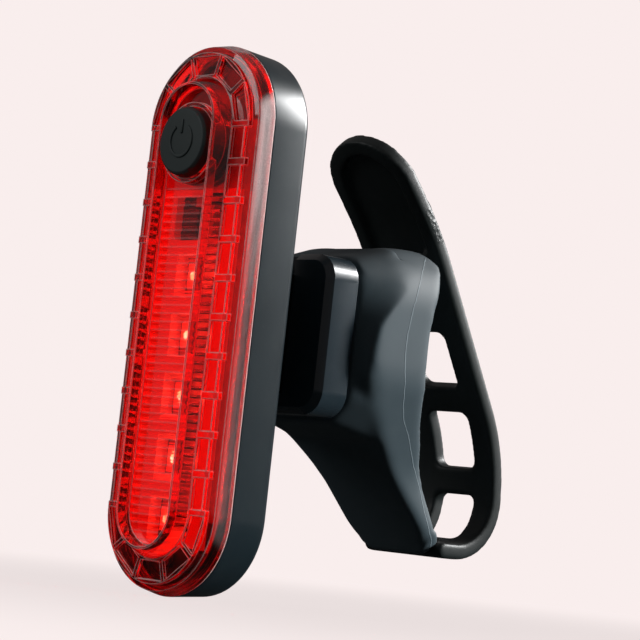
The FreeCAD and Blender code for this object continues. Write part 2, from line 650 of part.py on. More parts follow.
def make_button():
    """Rubber cap: rounded disc, skirt, retaining flange and a stem that meets the plunger."""
    front = RIDGE_Y - BUTTON_PROUD
    skin = front + BUTTON_SKIN
    flange = LENS_BACK_Y + TOUCH_GAP
    back = flange + BUTTON_FLANGE_THICKNESS
    inner = BUTTON_RADIUS - BUTTON_WALL
    stem_end = BOARD_Y - SWITCH_HEIGHT - PLUNGER_PROUD - TOUCH_GAP
    face = polygon([
        (0, front, 0),
        (BUTTON_RADIUS - BUTTON_EDGE, front, 0),
        (BUTTON_RADIUS, front + BUTTON_EDGE, 0),
        (BUTTON_RADIUS, flange, 0),
        (BUTTON_RADIUS + BUTTON_FLANGE, flange, 0),
        (BUTTON_RADIUS + BUTTON_FLANGE, back, 0),
        (inner, back, 0),
        (inner, skin, 0),
        (STEM_RADIUS, skin, 0),
        (STEM_RADIUS, stem_end, 0),
        (0, stem_end, 0),
    ], lambda u, v: V(u, v, BUTTON_Z))
    return face.revolve(V(0, 0, BUTTON_Z), ALONG_Y, 360)


def make_battery():
    """Flat lithium cell behind the board."""
    front = BOARD_BACK_Y + BATTERY_BOARD_GAP
    cell = box(-BATTERY_WIDTH / 2, BATTERY_WIDTH / 2, front, front + BATTERY_THICKNESS,
               BATTERY_BOTTOM_Z, BATTERY_BOTTOM_Z + BATTERY_LENGTH)
    return cell.makeFillet(BATTERY_CORNER, [e for e in cell.Edges if abs(e.tangentAt(0).z) > 0.9])


def make_battery_pad():
    """Foam pad between the cell and the housing's floor."""
    back = BOARD_BACK_Y + BATTERY_BOARD_GAP + BATTERY_THICKNESS
    reach = CLIP_SCREW_Z - CLIP_SCREW_HEAD_RADIUS - 0.3
    return box(-PAD_WIDTH / 2, PAD_WIDTH / 2, back, FLOOR_Y, -reach, reach)


def make_tabs():
    """Two flat nickel tabs, bent from the cell's end to the back of the board."""
    y = BOARD_BACK_Y + BATTERY_BOARD_GAP + BATTERY_THICKNESS / 2
    z = BATTERY_BOTTOM_Z + BATTERY_LENGTH
    top = z + TAB_RUN
    tabs = []
    for x in (-TAB_SPREAD, TAB_SPREAD):
        strip = polygon([
            (y, z, 0),
            (y, top, TAB_BEND),
            (BOARD_BACK_Y, top, 0),
            (BOARD_BACK_Y, top - TAB_THICKNESS, 0),
            (y - TAB_THICKNESS, top - TAB_THICKNESS, TAB_BEND - TAB_THICKNESS),
            (y - TAB_THICKNESS, z, 0),
        ], side)
        strip.translate(V(x - TAB_WIDTH / 2, 0, 0))
        tabs.append(strip.extrude(V(TAB_WIDTH, 0, 0)))
    return tabs


def make_port_shell():
    """Steel shell of the charging port, open at its mouth."""
    y = BOARD_BACK_Y + PORT_HEIGHT / 2
    w, h = PORT_WIDTH / 2, PORT_HEIGHT / 2
    outer = box(PORT_MOUTH_X, PORT_MOUTH_X + PORT_LENGTH, y - h, y + h, PORT_Z - w, PORT_Z + w)
    inner = box(PORT_MOUTH_X - 1, PORT_MOUTH_X + PORT_LENGTH - PORT_WALL, y - h + PORT_WALL, y + h - PORT_WALL,
                PORT_Z - w + PORT_WALL, PORT_Z + w - PORT_WALL)
    return outer.cut(inner)


def make_port_tongue():
    """Contact tongue inside the charging port."""
    y = BOARD_BACK_Y + PORT_HEIGHT / 2
    return box(PORT_MOUTH_X + 1.0, PORT_MOUTH_X + PORT_LENGTH - PORT_WALL, y - 0.3, y + 0.3,
               PORT_Z - PORT_WIDTH / 2 + 1.2, PORT_Z + PORT_WIDTH / 2 - 1.2)


def make_cover():
    """Rubber cover of the charging port, hinged at its lower end, with a stub that fills the mouth."""
    y = BOARD_BACK_Y + PORT_HEIGHT / 2
    low, high = PORT_Z - COVER_LENGTH / 2, PORT_Z + COVER_LENGTH / 2
    back = COVER_FLOOR_X - SKIN_GAP
    front = back - COVER_THICKNESS
    half = COVER_THICKNESS / 2
    plate = polygon([(front, low, half - 0.01), (back, low, half - 0.01), (back, high, 0), (front, high, 0.4)],
                    lambda u, v: V(u, y - COVER_HEIGHT / 2, v)).extrude(V(0, COVER_HEIGHT, 0))
    half_width = PORT_WIDTH / 2 - PORT_WALL - COVER_STUB_GAP
    half_height = PORT_HEIGHT / 2 - PORT_WALL - COVER_STUB_GAP / 2
    stub = box(back - 0.1, back + COVER_STUB, y - half_height, y + half_height,
               PORT_Z - half_width, PORT_Z + half_width)
    return fused([plate, stub])


# Clip and socket

def make_clip():
    """Bracket on the light's back: plate, neck and the T-shaped head that drops into the socket."""
    plate = rounded_block(CLIP_WIDTH, CLIP_HEIGHT, 0, BACK_Y, BACK_Y + CLIP_PLATE)
    head_y = CHAMBER_Y + CLIP_GAP
    head_back = CHAMBER_BACK_Y - CLIP_GAP
    half = CLIP_LENGTH / 2
    neck = box(-CLIP_NECK / 2, CLIP_NECK / 2, BACK_Y + CLIP_PLATE / 2, head_back, -half, half)
    head = box(-CLIP_HEAD_WIDTH / 2, CLIP_HEAD_WIDTH / 2, head_y, head_back, -half, half)
    body = fused([plate, neck, head])
    depth = CLIP_SCREW_LENGTH - HOUSING_WALL + TOUCH_GAP
    holes = [rod(CLIP_SCREW_RADIUS + SCREW_GAP, 0, BACK_Y - 1, z, depth + 1)
             for z in (CLIP_SCREW_Z, -CLIP_SCREW_Z)]
    return body.cut(Part.Compound(holes))


def make_clip_screws():
    """Two screws through the housing's floor into the bracket."""
    screws = []
    for z in (CLIP_SCREW_Z, -CLIP_SCREW_Z):
        head = rod(CLIP_SCREW_HEAD_RADIUS, 0, FLOOR_Y - CLIP_SCREW_HEAD, z, CLIP_SCREW_HEAD)
        shank = rod(CLIP_SCREW_RADIUS, 0, FLOOR_Y, z, CLIP_SCREW_LENGTH)
        screws.append(fused([head, shank]))
    return screws


def make_socket():
    """Square socket with a bevelled face, a slot open at the top and a hole for its pivot."""
    rim = SOCKET_FACE_Y + SOCKET_BEVEL
    body = rounded_block(SOCKET_WIDTH, SOCKET_HEIGHT, SOCKET_CORNER, rim, SOCKET_BACK_Y)
    large = rounded_block(SOCKET_WIDTH, SOCKET_HEIGHT, SOCKET_CORNER, rim, rim + 1)
    inset = SOCKET_BEVEL
    small = rounded_block(SOCKET_WIDTH - 2 * inset, SOCKET_HEIGHT - 2 * inset, SOCKET_CORNER - inset,
                          SOCKET_FACE_Y, SOCKET_FACE_Y + 1)
    face_wire = min(small.Faces, key=lambda f: f.CenterOfMass.y).OuterWire
    rim_wire = min(large.Faces, key=lambda f: f.CenterOfMass.y).OuterWire
    bevel = Part.makeLoft([face_wire, rim_wire], True, True)
    body = fused([body, bevel])
    top = SOCKET_HEIGHT / 2 + 1
    neck = CLIP_NECK / 2 + CLIP_GAP
    head = CLIP_HEAD_WIDTH / 2 + CLIP_GAP
    slot = box(-neck, neck, SOCKET_FACE_Y - 1, CHAMBER_Y + 0.5, SLOT_BOTTOM_Z, top)
    chamber = box(-head, head, CHAMBER_Y, CHAMBER_BACK_Y, SLOT_BOTTOM_Z, top)
    well = rod(PIVOT_HEAD_RADIUS + 0.3, 0, CHAMBER_BACK_Y - 0.5, 0, PIVOT_HEAD_HEIGHT + 0.5 + 0.15)
    hole = rod(PIVOT_RADIUS + PIVOT_GAP, 0, CHAMBER_BACK_Y, 0, SOCKET_DEPTH)
    return body.cut(Part.Compound([slot, chamber, well, hole]))


def make_pivot_screw():
    """Screw that the socket turns on."""
    head_y = CHAMBER_BACK_Y + 0.15
    end = PAD_Y + SADDLE_CORE_COVER + PIVOT_THREAD_LENGTH
    head = rod(PIVOT_HEAD_RADIUS, 0, head_y - 0.1, 0, PIVOT_HEAD_HEIGHT)
    return fused([head, rod(PIVOT_RADIUS, 0, head_y, 0, end - head_y)])


def make_washer():
    """Friction washer between the socket and the saddle's pad."""
    front = SOCKET_BACK_Y + SKIN_GAP
    ring = rod(WASHER_RADIUS, 0, front, 0, WASHER_THICKNESS)
    return ring.cut(rod(PIVOT_RADIUS + PIVOT_GAP, 0, front - 1, 0, WASHER_THICKNESS + 2))


def make_core():
    """Stiff plate inside the saddle that the pivot screw holds to."""
    front = PAD_Y + SADDLE_CORE_COVER
    plate = rounded_block(SADDLE_CORE_SIZE, SADDLE_CORE_SIZE, 0, front, front + SADDLE_CORE_DEPTH)
    return plate.cut(rod(PIVOT_RADIUS + PIVOT_GAP, 0, front - 1, 0, SADDLE_CORE_DEPTH + 2))


# Saddle and strap

def side(u, v):
    """A point of the side view, on the middle plane."""
    return V(0, u, v)


def strap_path():
    """The strap's middle line as runs and bends, from its root: (length, radius or None)."""
    back_turn = math.radians(STRAP_BACK_LEAN)
    tab_turn = math.radians(STRAP_TAB_LEAN - STRAP_BACK_LEAN)
    return [
        (STRAP_FOOT, None),
        (STRAP_BEND_RADIUS * math.pi / 2, STRAP_BEND_RADIUS),
        (STRAP_BACK_RADIUS * back_turn, STRAP_BACK_RADIUS),
        (STRAP_BACK_LENGTH, None),
        (STRAP_TAB_RADIUS * tab_turn, STRAP_TAB_RADIUS),
        (STRAP_TAB_LENGTH, None),
    ]


def strap_point(distance, offset=0.0):
    """Point on the strap at a distance from its root, offset outwards, and the heading there."""
    y, z, heading = STRAP_ROOT_Y, STRAP_ROOT_Z, 0.0
    left = distance
    pieces = strap_path()
    for i, (length, radius) in enumerate(pieces):
        step = left if i == len(pieces) - 1 else min(left, length)
        if radius is None:
            y += step * math.cos(heading)
            z += step * math.sin(heading)
        else:
            turned = heading + step / radius
            y += radius * (math.sin(turned) - math.sin(heading))
            z += radius * (math.cos(heading) - math.cos(turned))
            heading = turned
        left -= step
        if left <= 0:
            break
    return y + offset * math.sin(heading), z - offset * math.cos(heading), heading


def strap_length():
    """Length of the strap's middle line."""
    return sum(length for length, radius in strap_path())


def strap_stretch(start, stop, inner, outer, half_width):
    """The strap between two distances, from an inner to an outer offset, as one solid."""
    solids = []
    begun = 0.0
    for length, radius in strap_path():
        a, b = max(start, begun), min(stop, begun + length)
        begun += length
        if b - a < 1e-6:
            continue
        corners = [strap_point(a, inner), strap_point(b, inner), strap_point(b, outer), strap_point(a, outer)]
        p = [side(c[0], c[1]) for c in corners]
        if radius is None:
            long_in = Part.LineSegment(p[0], p[1]).toShape()
            long_out = Part.LineSegment(p[2], p[3]).toShape()
        else:
            middle_in = strap_point((a + b) / 2, inner)
            middle_out = strap_point((a + b) / 2, outer)
            long_in = Part.Arc(p[0], side(middle_in[0], middle_in[1]), p[1]).toShape()
            long_out = Part.Arc(p[2], side(middle_out[0], middle_out[1]), p[3]).toShape()
        wire = Part.Wire([long_in, Part.LineSegment(p[1], p[2]).toShape(), long_out,
                          Part.LineSegment(p[3], p[0]).toShape()])
        face = Part.Face(wire)
        face.translate(V(-half_width, 0, 0))
        solids.append(face.extrude(V(2 * half_width, 0, 0)))
    return fused(solids)


def with_cut_corners(shape, depth, size):
    """Cuts the edges of a window cutter that run through the strap."""
    through = [e for e in shape.Edges if len(e.Vertexes) == 2 and abs(e.Length - depth) < 1e-3
               and abs(e.Vertexes[0].X - e.Vertexes[1].X) < 1e-6]
    return shape.makeChamfer(size, through)


def strap_windows():
    """Start and end of each window along the strap."""
    starts = [WINDOW_LAST - WINDOW_PITCH * (WINDOW_COUNT - 1 - i) for i in range(WINDOW_COUNT)]
    return [(s, s + WINDOW_LENGTH) for s in starts]


def make_strap():
    """Ladder strap: root knuckle, bend, windowed back, and a tab with a recess and a thumb ridge."""
    half = STRAP_THICKNESS / 2
    length = strap_length()
    band = strap_stretch(0, length, -half, half, STRAP_WIDTH / 2)
    knuckle = rod(half, -STRAP_WIDTH / 2, STRAP_ROOT_Y, STRAP_ROOT_Z, STRAP_WIDTH, ALONG_X)
    shapes = [band, knuckle, make_grip(length - GRIP_FROM_END)]
    band = fused(shapes)
    cuts = []
    reach = half + 0.6
    for start, stop in strap_windows():
        cutter = strap_stretch(start, stop, -reach, reach, WINDOW_WIDTH / 2)
        cuts.append(with_cut_corners(cutter, 2 * reach, WINDOW_CORNER))
    cuts.append(make_tab_recess(length))
    cuts.append(make_tab_corners(length))
    return band.cut(Part.Compound(cuts))


def make_grip(place):
    """Rounded ridge across the tab's outer face."""
    sink = GRIP_RADIUS - GRIP_HEIGHT
    y, z, heading = strap_point(place, STRAP_THICKNESS / 2 - sink)
    ridge = rod(GRIP_RADIUS, -GRIP_HALF_WIDTH, y, z, 2 * GRIP_HALF_WIDTH, ALONG_X)
    ends = [e for e in ridge.Edges if isinstance(e.Curve, Part.Circle)]
    ridge = ridge.makeChamfer(1.2, ends)
    keep = strap_stretch(place - GRIP_RADIUS, place + GRIP_RADIUS, 0.2, STRAP_THICKNESS / 2 + GRIP_HEIGHT + 1,
                         GRIP_HALF_WIDTH + 1)
    return ridge.common(keep)


def make_tab_recess(length):
    """Shallow oblong recess in the tab's inner face, with one round end."""
    half = STRAP_THICKNESS / 2
    stop = length - TAB_RIM
    start = stop - TAB_RECESS_LENGTH
    wide = STRAP_WIDTH / 2 - TAB_RIM
    deep = strap_stretch(start, stop - wide, -half - 1, -half + TAB_RECESS_DEPTH, wide)
    y, z, heading = strap_point(stop - wide, -half - 1)
    outward = V(0, math.sin(heading), -math.cos(heading))
    cap = Part.makeCylinder(wide, TAB_RECESS_DEPTH + 1, V(0, y, z), outward)
    return fused([deep, cap])


def make_tab_corners(length):
    """What is cut off the tab to leave a round end."""
    radius = STRAP_WIDTH / 2
    y, z, heading = strap_point(length - radius, -STRAP_THICKNESS)
    outward = V(0, math.sin(heading), -math.cos(heading))
    disc = Part.makeCylinder(radius, 2 * STRAP_THICKNESS, V(0, y, z), outward)
    block = strap_stretch(length - radius, length + 0.001, -STRAP_THICKNESS, STRAP_THICKNESS, radius + 1)
    return block.cut(disc)


def make_saddle():
    """Silicone saddle: hollow seat, wings, pedestal with a flat pad, and the strap's hook."""
    wide = 2 * SADDLE_HALF_WIDTH
    body = fused([make_wings(), make_pedestal()]).common(make_front_outline())
    body = fused([body.cut(rod(SEAT_RADIUS, -wide, SEAT_RADIUS, 0, 2 * wide, ALONG_X)), make_horn()])
    core = PAD_Y + SADDLE_CORE_COVER
    cuts = [
        rod(STRAP_THICKNESS / 2 + STRAP_ROOT_GAP, -wide, STRAP_ROOT_Y, STRAP_ROOT_Z, 2 * wide, ALONG_X),
        rounded_block(SADDLE_CORE_SIZE + 2 * SKIN_GAP, SADDLE_CORE_SIZE + 2 * SKIN_GAP, 0,
                      core - SKIN_GAP, core + SADDLE_CORE_DEPTH + SKIN_GAP),
        rod(WASHER_RADIUS + SKIN_GAP, 0, PAD_Y - 1, 0, 1 + SKIN_GAP * 2 + WASHER_THICKNESS - SWIVEL_GAP),
        rod(PIVOT_RADIUS + PIVOT_GAP, 0, PAD_Y - 1, 0, 1 + SADDLE_CORE_COVER + PIVOT_THREAD_LENGTH + TOUCH_GAP),
    ]
    return body.cut(Part.Compound(cuts))


def make_wings():
    """The saddle from the side: swelling front, brow, seat corner, straight wing and the strap's root."""
    seat = SEAT_RADIUS
    top_y = seat - math.sqrt(seat ** 2 - SEAT_TOP_Z ** 2)
    low_y = seat - math.sqrt(seat ** 2 - SEAT_LOW_Z ** 2)
    foot_z = STRAP_ROOT_Z + STRAP_THICKNESS / 2 + STRAP_ROOT_GAP + 0.1
    foot_y = low_y + (foot_z - SEAT_LOW_Z) * SEAT_LOW_Z / (seat - low_y)
    tip_z = STRAP_ROOT_Z - STRAP_THICKNESS / 2
    turn = math.radians(STRAP_SWING)
    reach = STRAP_THICKNESS / 2 + STRAP_ROOT_GAP
    end_y, end_z = STRAP_ROOT_Y - reach * math.sin(turn), STRAP_ROOT_Z - reach * math.cos(turn)
    tip_y = end_y + (end_z - tip_z) / math.tan(turn)
    profile = polygon([
        (PAD_Y + WING_SET, WING_LOW_Z, WING_LOW_ROUND),
        (PAD_Y + WING_SET, WING_HIGH_Z, WING_HIGH_ROUND),
        (PAD_Y + BROW_SET, BROW_Z, BROW_ROUND),
        (CREST_Y, SADDLE_TOP_Z, CREST_ROUND),
        (top_y + SEAT_LIP, SADDLE_TOP_Z, SEAT_LIP_ROUND),
        (top_y, SEAT_TOP_Z, 0),
        (low_y, SEAT_LOW_Z, 0),
        (min(foot_y, STRAP_ROOT_Y), foot_z, 0),
        (STRAP_ROOT_Y, STRAP_ROOT_Z, 0),
        (end_y, end_z, 0),
        (tip_y, tip_z, 0),
        (tip_y - TIP_RUN, tip_z, TIP_ROUND),
        (KNEE_Y, KNEE_Z, KNEE_ROUND),
        (PAD_Y + THROAT_SET, THROAT_Z, THROAT_ROUND),
    ], side)
    wide = SADDLE_HALF_WIDTH + 1
    profile.translate(V(-wide, 0, 0))
    return profile.extrude(V(2 * wide, 0, 0))


def make_front_outline():
    """The saddle's outline from the front, carried back along Y."""
    wide = SADDLE_HALF_WIDTH
    narrow = STRAP_WIDTH / 2
    bottom = STRAP_ROOT_Z - STRAP_THICKNESS
    right = [
        (wide, SADDLE_TOP_Z, SADDLE_SHOULDER),
        (wide, SADDLE_WAIST_Z, SADDLE_WAIST_ROUND),
        (narrow, SADDLE_NECK_Z, SADDLE_NECK_ROUND),
        (narrow, bottom, 0),
    ]
    left = [(-u, v, radius) for u, v, radius in reversed(right)]
    return polygon(right + left, lambda u, v: V(u, PAD_Y - 2, v)).extrude(V(0, 4 * SADDLE_DEPTH, 0))


def make_pedestal():
    """Block that carries the pad, its flanks, ends and cut corners flaring back into the wings."""
    back = PAD_Y + PAD_DEPTH
    long = 2 * (SADDLE_HALF_WIDTH + PAD_DEPTH)
    sides = [
        (0, PAD_HALF_WIDTH, PAD_SIDE_FLARE),
        (90, PAD_HALF_HEIGHT, PAD_END_FLARE),
        (45, PAD_HALF_CORNER, PAD_CORNER_FLARE),
        (135, PAD_HALF_CORNER, PAD_CORNER_FLARE),
    ]
    block = None
    for turn, near, flare in sides:
        far = near + flare
        corners = [(-near, PAD_Y, 0), (near, PAD_Y, 0), (far, back, 0), (-far, back, 0)]
        wedge = polygon(corners, lambda u, v: V(u, v, -long)).extrude(V(0, 0, 2 * long))
        wedge.rotate(V(0, 0, 0), ALONG_Y, turn)
        block = wedge if block is None else block.common(wedge)
    return block


def make_horn():
    """Hook on the saddle's upper edge, square to the strap's swing, that stands in the last window."""
    start, stop = strap_windows()[-1]
    place = (start + stop) / 2 + HORN_SET_BACK
    y, z, heading = strap_point(place)
    swing = math.atan2(STRAP_ROOT_Y - y, z - STRAP_ROOT_Z)
    along = V(0, math.cos(swing), math.sin(swing))
    up = V(0, -math.sin(swing), math.cos(swing))
    centre = V(0, y, z)
    past = STRAP_THICKNESS / 2 / math.cos(heading - math.pi / 2 - swing) + HORN_GAP

    def slab(width, low, high, near, far):
        corners = [centre + along * near + up * low, centre + along * far + up * low,
                   centre + along * far + up * high, centre + along * near + up * high]
        wire = Part.makePolygon(corners + corners[:1])
        face = Part.Face(wire)
        face.translate(V(-width / 2, 0, 0))
        return face.extrude(V(width, 0, 0))

    half = HORN_THICKNESS / 2
    post = slab(HORN_WIDTH, -half, half, -HORN_ROOT, past + HORN_HEAD_LENGTH)
    head = slab(HORN_HEAD_WIDTH, -half, half + HORN_HEAD_RISE, past, past + HORN_HEAD_LENGTH)
    return fused([post, head])


def save(name, shapes):
    """Writes one node from a solid or a list of separate solids."""
    if isinstance(shapes, list):
        shape = Part.Compound(shapes)
    else:
        shape = shapes
    shape.exportStep("parts/" + name + ".step")
    box_ = shape.BoundBox
    print("%-16s solids %d  volume %8.1f  valid %s  x %.1f %.1f  y %.1f %.1f  z %.1f %.1f" % (
        name, len(shape.Solids), shape.Volume, shape.isValid(),
        box_.XMin, box_.XMax, box_.YMin, box_.YMax, box_.ZMin, box_.ZMax))


def main():
    """Builds every piece and writes it under its own name."""
    os.makedirs("parts", exist_ok=True)
    pieces = {
        "lens": make_lens,
        "lens_seal": make_seal,
        "housing": make_housing,
        "circuit_board": make_board,
        "board_screws": make_board_screws,
        "lamps": make_lamps,
        "reflector": make_reflector,
        "lamp_driver": make_driver,
        "resistors": make_resistors,
        "charging_chip": make_charger,
        "switch_body": make_switch_body,
        "switch_plunger": make_plunger,
        "button": make_button,
        "battery_cell": make_battery,
        "battery_pad": make_battery_pad,
        "battery_tabs": make_tabs,
        "port_shell": make_port_shell,
        "port_tongue": make_port_tongue,
        "port_cover": make_cover,
        "light_clip": make_clip,
        "clip_screws": make_clip_screws,
        "clip_socket": make_socket,
        "pivot_screw": make_pivot_screw,
        "pivot_washer": make_washer,
        "saddle_core": make_core,
        "saddle": make_saddle,
        "strap": make_strap,
    }
    for name, make in pieces.items():
        save(name, make())


main()
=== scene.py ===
"""A rechargeable clip-on bicycle tail light with its strap mount, dressed over the CAD frame."""
import json
import logging
import math
from collections.abc import Callable
from dataclasses import dataclass
from enum import Enum

import bmesh
import bpy
from mathutils import Matrix, Vector

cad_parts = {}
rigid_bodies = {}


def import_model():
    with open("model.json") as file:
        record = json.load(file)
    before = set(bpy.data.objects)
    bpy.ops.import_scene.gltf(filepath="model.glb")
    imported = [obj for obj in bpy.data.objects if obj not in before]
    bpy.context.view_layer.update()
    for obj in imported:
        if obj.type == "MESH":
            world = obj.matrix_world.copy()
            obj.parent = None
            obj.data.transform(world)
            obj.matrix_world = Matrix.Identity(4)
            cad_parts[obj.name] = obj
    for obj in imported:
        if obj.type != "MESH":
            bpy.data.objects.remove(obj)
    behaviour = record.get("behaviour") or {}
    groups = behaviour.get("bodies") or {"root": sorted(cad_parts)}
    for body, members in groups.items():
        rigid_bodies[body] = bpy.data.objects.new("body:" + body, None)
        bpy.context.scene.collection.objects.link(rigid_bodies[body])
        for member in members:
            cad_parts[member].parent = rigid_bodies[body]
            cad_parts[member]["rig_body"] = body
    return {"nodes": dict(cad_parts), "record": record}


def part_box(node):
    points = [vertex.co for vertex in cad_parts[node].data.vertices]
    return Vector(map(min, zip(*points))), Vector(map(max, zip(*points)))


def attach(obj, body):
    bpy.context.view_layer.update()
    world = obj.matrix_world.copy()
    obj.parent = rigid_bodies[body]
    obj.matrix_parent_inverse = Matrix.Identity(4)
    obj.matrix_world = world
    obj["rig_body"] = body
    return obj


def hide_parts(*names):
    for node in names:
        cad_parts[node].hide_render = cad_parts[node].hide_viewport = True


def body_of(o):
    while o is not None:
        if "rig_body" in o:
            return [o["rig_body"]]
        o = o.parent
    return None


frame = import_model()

Shape = bmesh.types.BMesh
Axes = bpy.types.bpy_prop_collection
Plug = bpy.types.NodeSocket
Value = bpy.types.NodeSocket | float
Colour = tuple[float, float, float, float]
Point = tuple[float, float, float]
Outline = list[tuple[float, float]]

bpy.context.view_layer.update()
MM = 0.001
log = logging.getLogger("tail_light")


# Node helpers

def srgb(red: float, green: float, blue: float) -> Colour:
    """Turns a colour of 0 to 255 per channel into Blender's linear colour.

    Args:
        red: Red channel as a screen shows it.
        green: Green channel as a screen shows it.
        blue: Blue channel as a screen shows it.

    Returns:
        The linear colour with an alpha of 1.
    """
    def line(value: float) -> float:
        """One channel without the screen's curve."""
        share = value / 255
        return share / 12.92 if share <= 0.04045 else ((share + 0.055) / 1.055) ** 2.4
    return line(red), line(green), line(blue), 1.0


class Tree:
    """Short calls for the nodes of one material, world or node group."""

    def __init__(self, tree: bpy.types.NodeTree) -> None:
        """Works on the given node tree."""
        self.tree = tree

    def node(self, kind: str, inputs: dict | None = None, **settings: str | float) -> bpy.types.Node:
        """Adds a node.

        Args:
            kind: The node's type without the words ShaderNode.
            inputs: Values or sockets by the name or number of the input.
            settings: Properties of the node itself.

        Returns:
            The new node.
        """
        node = self.tree.nodes.new("ShaderNode" + kind)
        for key, value in settings.items():
            setattr(node, key, value)
        self.fill(node, inputs or {})
        return node

    def fill(self, node: bpy.types.Node, inputs: dict) -> None:
        """Sets or links the inputs of a node.

        Args:
            node: The node.
            inputs: Values or sockets by the name or number of the input.
        """
        for key, value in inputs.items():
            if isinstance(value, bpy.types.NodeSocket):
                self.tree.links.new(value, node.inputs[key])
            else:
                node.inputs[key].default_value = value

    def math(self, operation: str, first: Value, second: Value = 0.0, third: Value = 0.0,
             clamp: bool = False) -> Plug:
        """Adds a Math node.

        Args:
            operation: The sum that it does.
            first: First value or socket.
            second: Second value or socket.
            third: Third value or socket.
            clamp: True keeps the result between 0 and 1.

        Returns:
            The socket with the result.
        """
        node = self.node("Math", {0: first, 1: second, 2: third}, operation=operation, use_clamp=clamp)
        return node.outputs[0]

    def times(self, first: Value, second: Value, clamp: bool = False) -> Plug:
        """Multiplies two values."""
        return self.math("MULTIPLY", first, second, clamp=clamp)

    def mix(self, share: Value, first: Plug | Colour, second: Plug | Colour) -> Plug:
        """Blends two colours.

        Args:
            share: How much of the second colour shows, 0 to 1.
            first: Colour or socket.
            second: Colour or socket.

        Returns:
            The socket with the blended colour.
        """
        node = self.node("Mix", {"Factor": share, 6: first, 7: second}, data_type="RGBA")
        return node.outputs[2]

    def step(self, value: Value, low: float, high: float, start: float = 0.0, end: float = 1.0) -> Plug:
        """Maps a value smoothly from one range to another.

        Args:
            value: Socket that is mapped.
            low: Value that gives start.
            high: Value that gives end.
            start: Result at low.
            end: Result at high.

        Returns:
            The socket with the result.
        """
        node = self.node("MapRange", {0: value, 1: low, 2: high, 3: start, 4: end},
                         interpolation_type="SMOOTHSTEP")
        return node.outputs[0]

    def over(self, value: Value, limit: float, fade: float) -> Plug:
        """Gives 1 where a place is beyond a limit, with the limit and the fade in millimetres."""
        return self.step(value, limit * MM, (limit + fade) * MM)

    def under(self, value: Value, limit: float, fade: float) -> Plug:
        """Gives 1 where a place is short of a limit, with the limit and the fade in millimetres."""
        return self.step(value, limit * MM, (limit - fade) * MM)

    def noise(self, vector: Plug, scale: Value, detail: float = 2.0, roughness: float = 0.5) -> Plug:
        """Adds a noise texture.

        Args:
            vector: Socket with the place on the surface.
            scale: How fine the noise is.
            detail: Number of finer layers.
            roughness: How strong the finer layers are.

        Returns:
            The socket with the grey noise.
        """
        inputs = {"Vector": vector, "Scale": scale, "Detail": detail, "Roughness": roughness}
        return self.node("TexNoise", inputs).outputs["Fac"]

    def place(self) -> Plug:
        """The socket with the place on the piece, in metres."""
        return self.node("TexCoord").outputs["Object"]

    def axes(self, vector: Plug) -> Axes:
        """The sockets X, Y and Z of a vector."""
        return self.node("SeparateXYZ", {0: vector}).outputs

    def facing(self) -> Axes:
        """The sockets X, Y and Z of the piece's own normal."""
        return self.axes(self.node("TexCoord").outputs["Normal"])

    def bump(self, height: Value, distance: float = 1.0) -> Plug:
        """A normal bent by a height, where 1 stands for the distance in millimetres."""
        return self.node("Bump", {"Strength": 1.0, "Distance": distance * MM, "Height": height}).outputs[0]

    def group(self, tree: bpy.types.NodeTree, inputs: dict) -> bpy.types.Node:
        """Adds a node group.

        Args:
            tree: The group.
            inputs: Values or sockets by input name.

        Returns:
            The group node.
        """
        node = self.node("Group")
        node.node_tree = tree
        self.fill(node, inputs)
        return node


class Effect:
    """A surface effect that several finishes share, as a node group."""

    name = "Effect"
    inputs: tuple[tuple[str, float], ...] = ()
    outputs: tuple[str, ...] = ()

    def tree(self) -> bpy.types.NodeTree:
        """Gives the group, and builds it on first use.

        Returns:
            The group.
        """
        known = bpy.data.node_groups.get(self.name)
        if known:
            return known
        tree = bpy.data.node_groups.new(self.name, "ShaderNodeTree")
        for name, value in self.inputs:
            socket = tree.interface.new_socket(name, in_out="INPUT", socket_type="NodeSocketFloat")
            socket.default_value = value
        for name in self.outputs:
            tree.interface.new_socket(name, in_out="OUTPUT", socket_type="NodeSocketFloat")
        values = tree.nodes.new("NodeGroupInput")
        results = tree.nodes.new("NodeGroupOutput")
        made = self.build(Tree(tree), values.outputs)
        for name, socket in zip(self.outputs, made):
            tree.links.new(socket, results.inputs[name])
        return tree

    def build(self, tree: Tree, values: dict) -> tuple[Plug, ...]:
        """Makes the effect's nodes and returns one socket for each output."""
        raise NotImplementedError


class MouldedSkin(Effect):
    """Fine skin of a moulding: a height for bump, a shade and an uneven gloss."""

    name = "Moulded skin"
    inputs = (("Grain Size", 0.12), ("Cloud Size", 6.0))
    outputs = ("Height", "Shade", "Gloss")

    def build(self, tree: Tree, values: dict) -> tuple[Plug, ...]:
        """Grain, slow clouds and fine flow marks.

        Args:
            tree: The group's nodes.
            values: Sizes of grain and clouds in millimetres.

        Returns:
            Height, shade and gloss.
        """
        place = tree.place()
        fine = tree.math("DIVIDE", 1 / MM, values["Grain Size"])
        wide = tree.math("DIVIDE", 1 / MM, values["Cloud Size"])
        grain = tree.noise(place, fine, 3.0, 0.6)
        cloud = tree.noise(place, wide, 3.0, 0.55)
        marks = tree.noise(place, 420.0, 5.0, 0.7)
        height = tree.math("ADD", tree.times(grain, 0.8), tree.times(marks, 0.2))
        gloss = tree.math("ADD", tree.times(cloud, 0.6), tree.times(marks, 0.4))
        return height, cloud, gloss


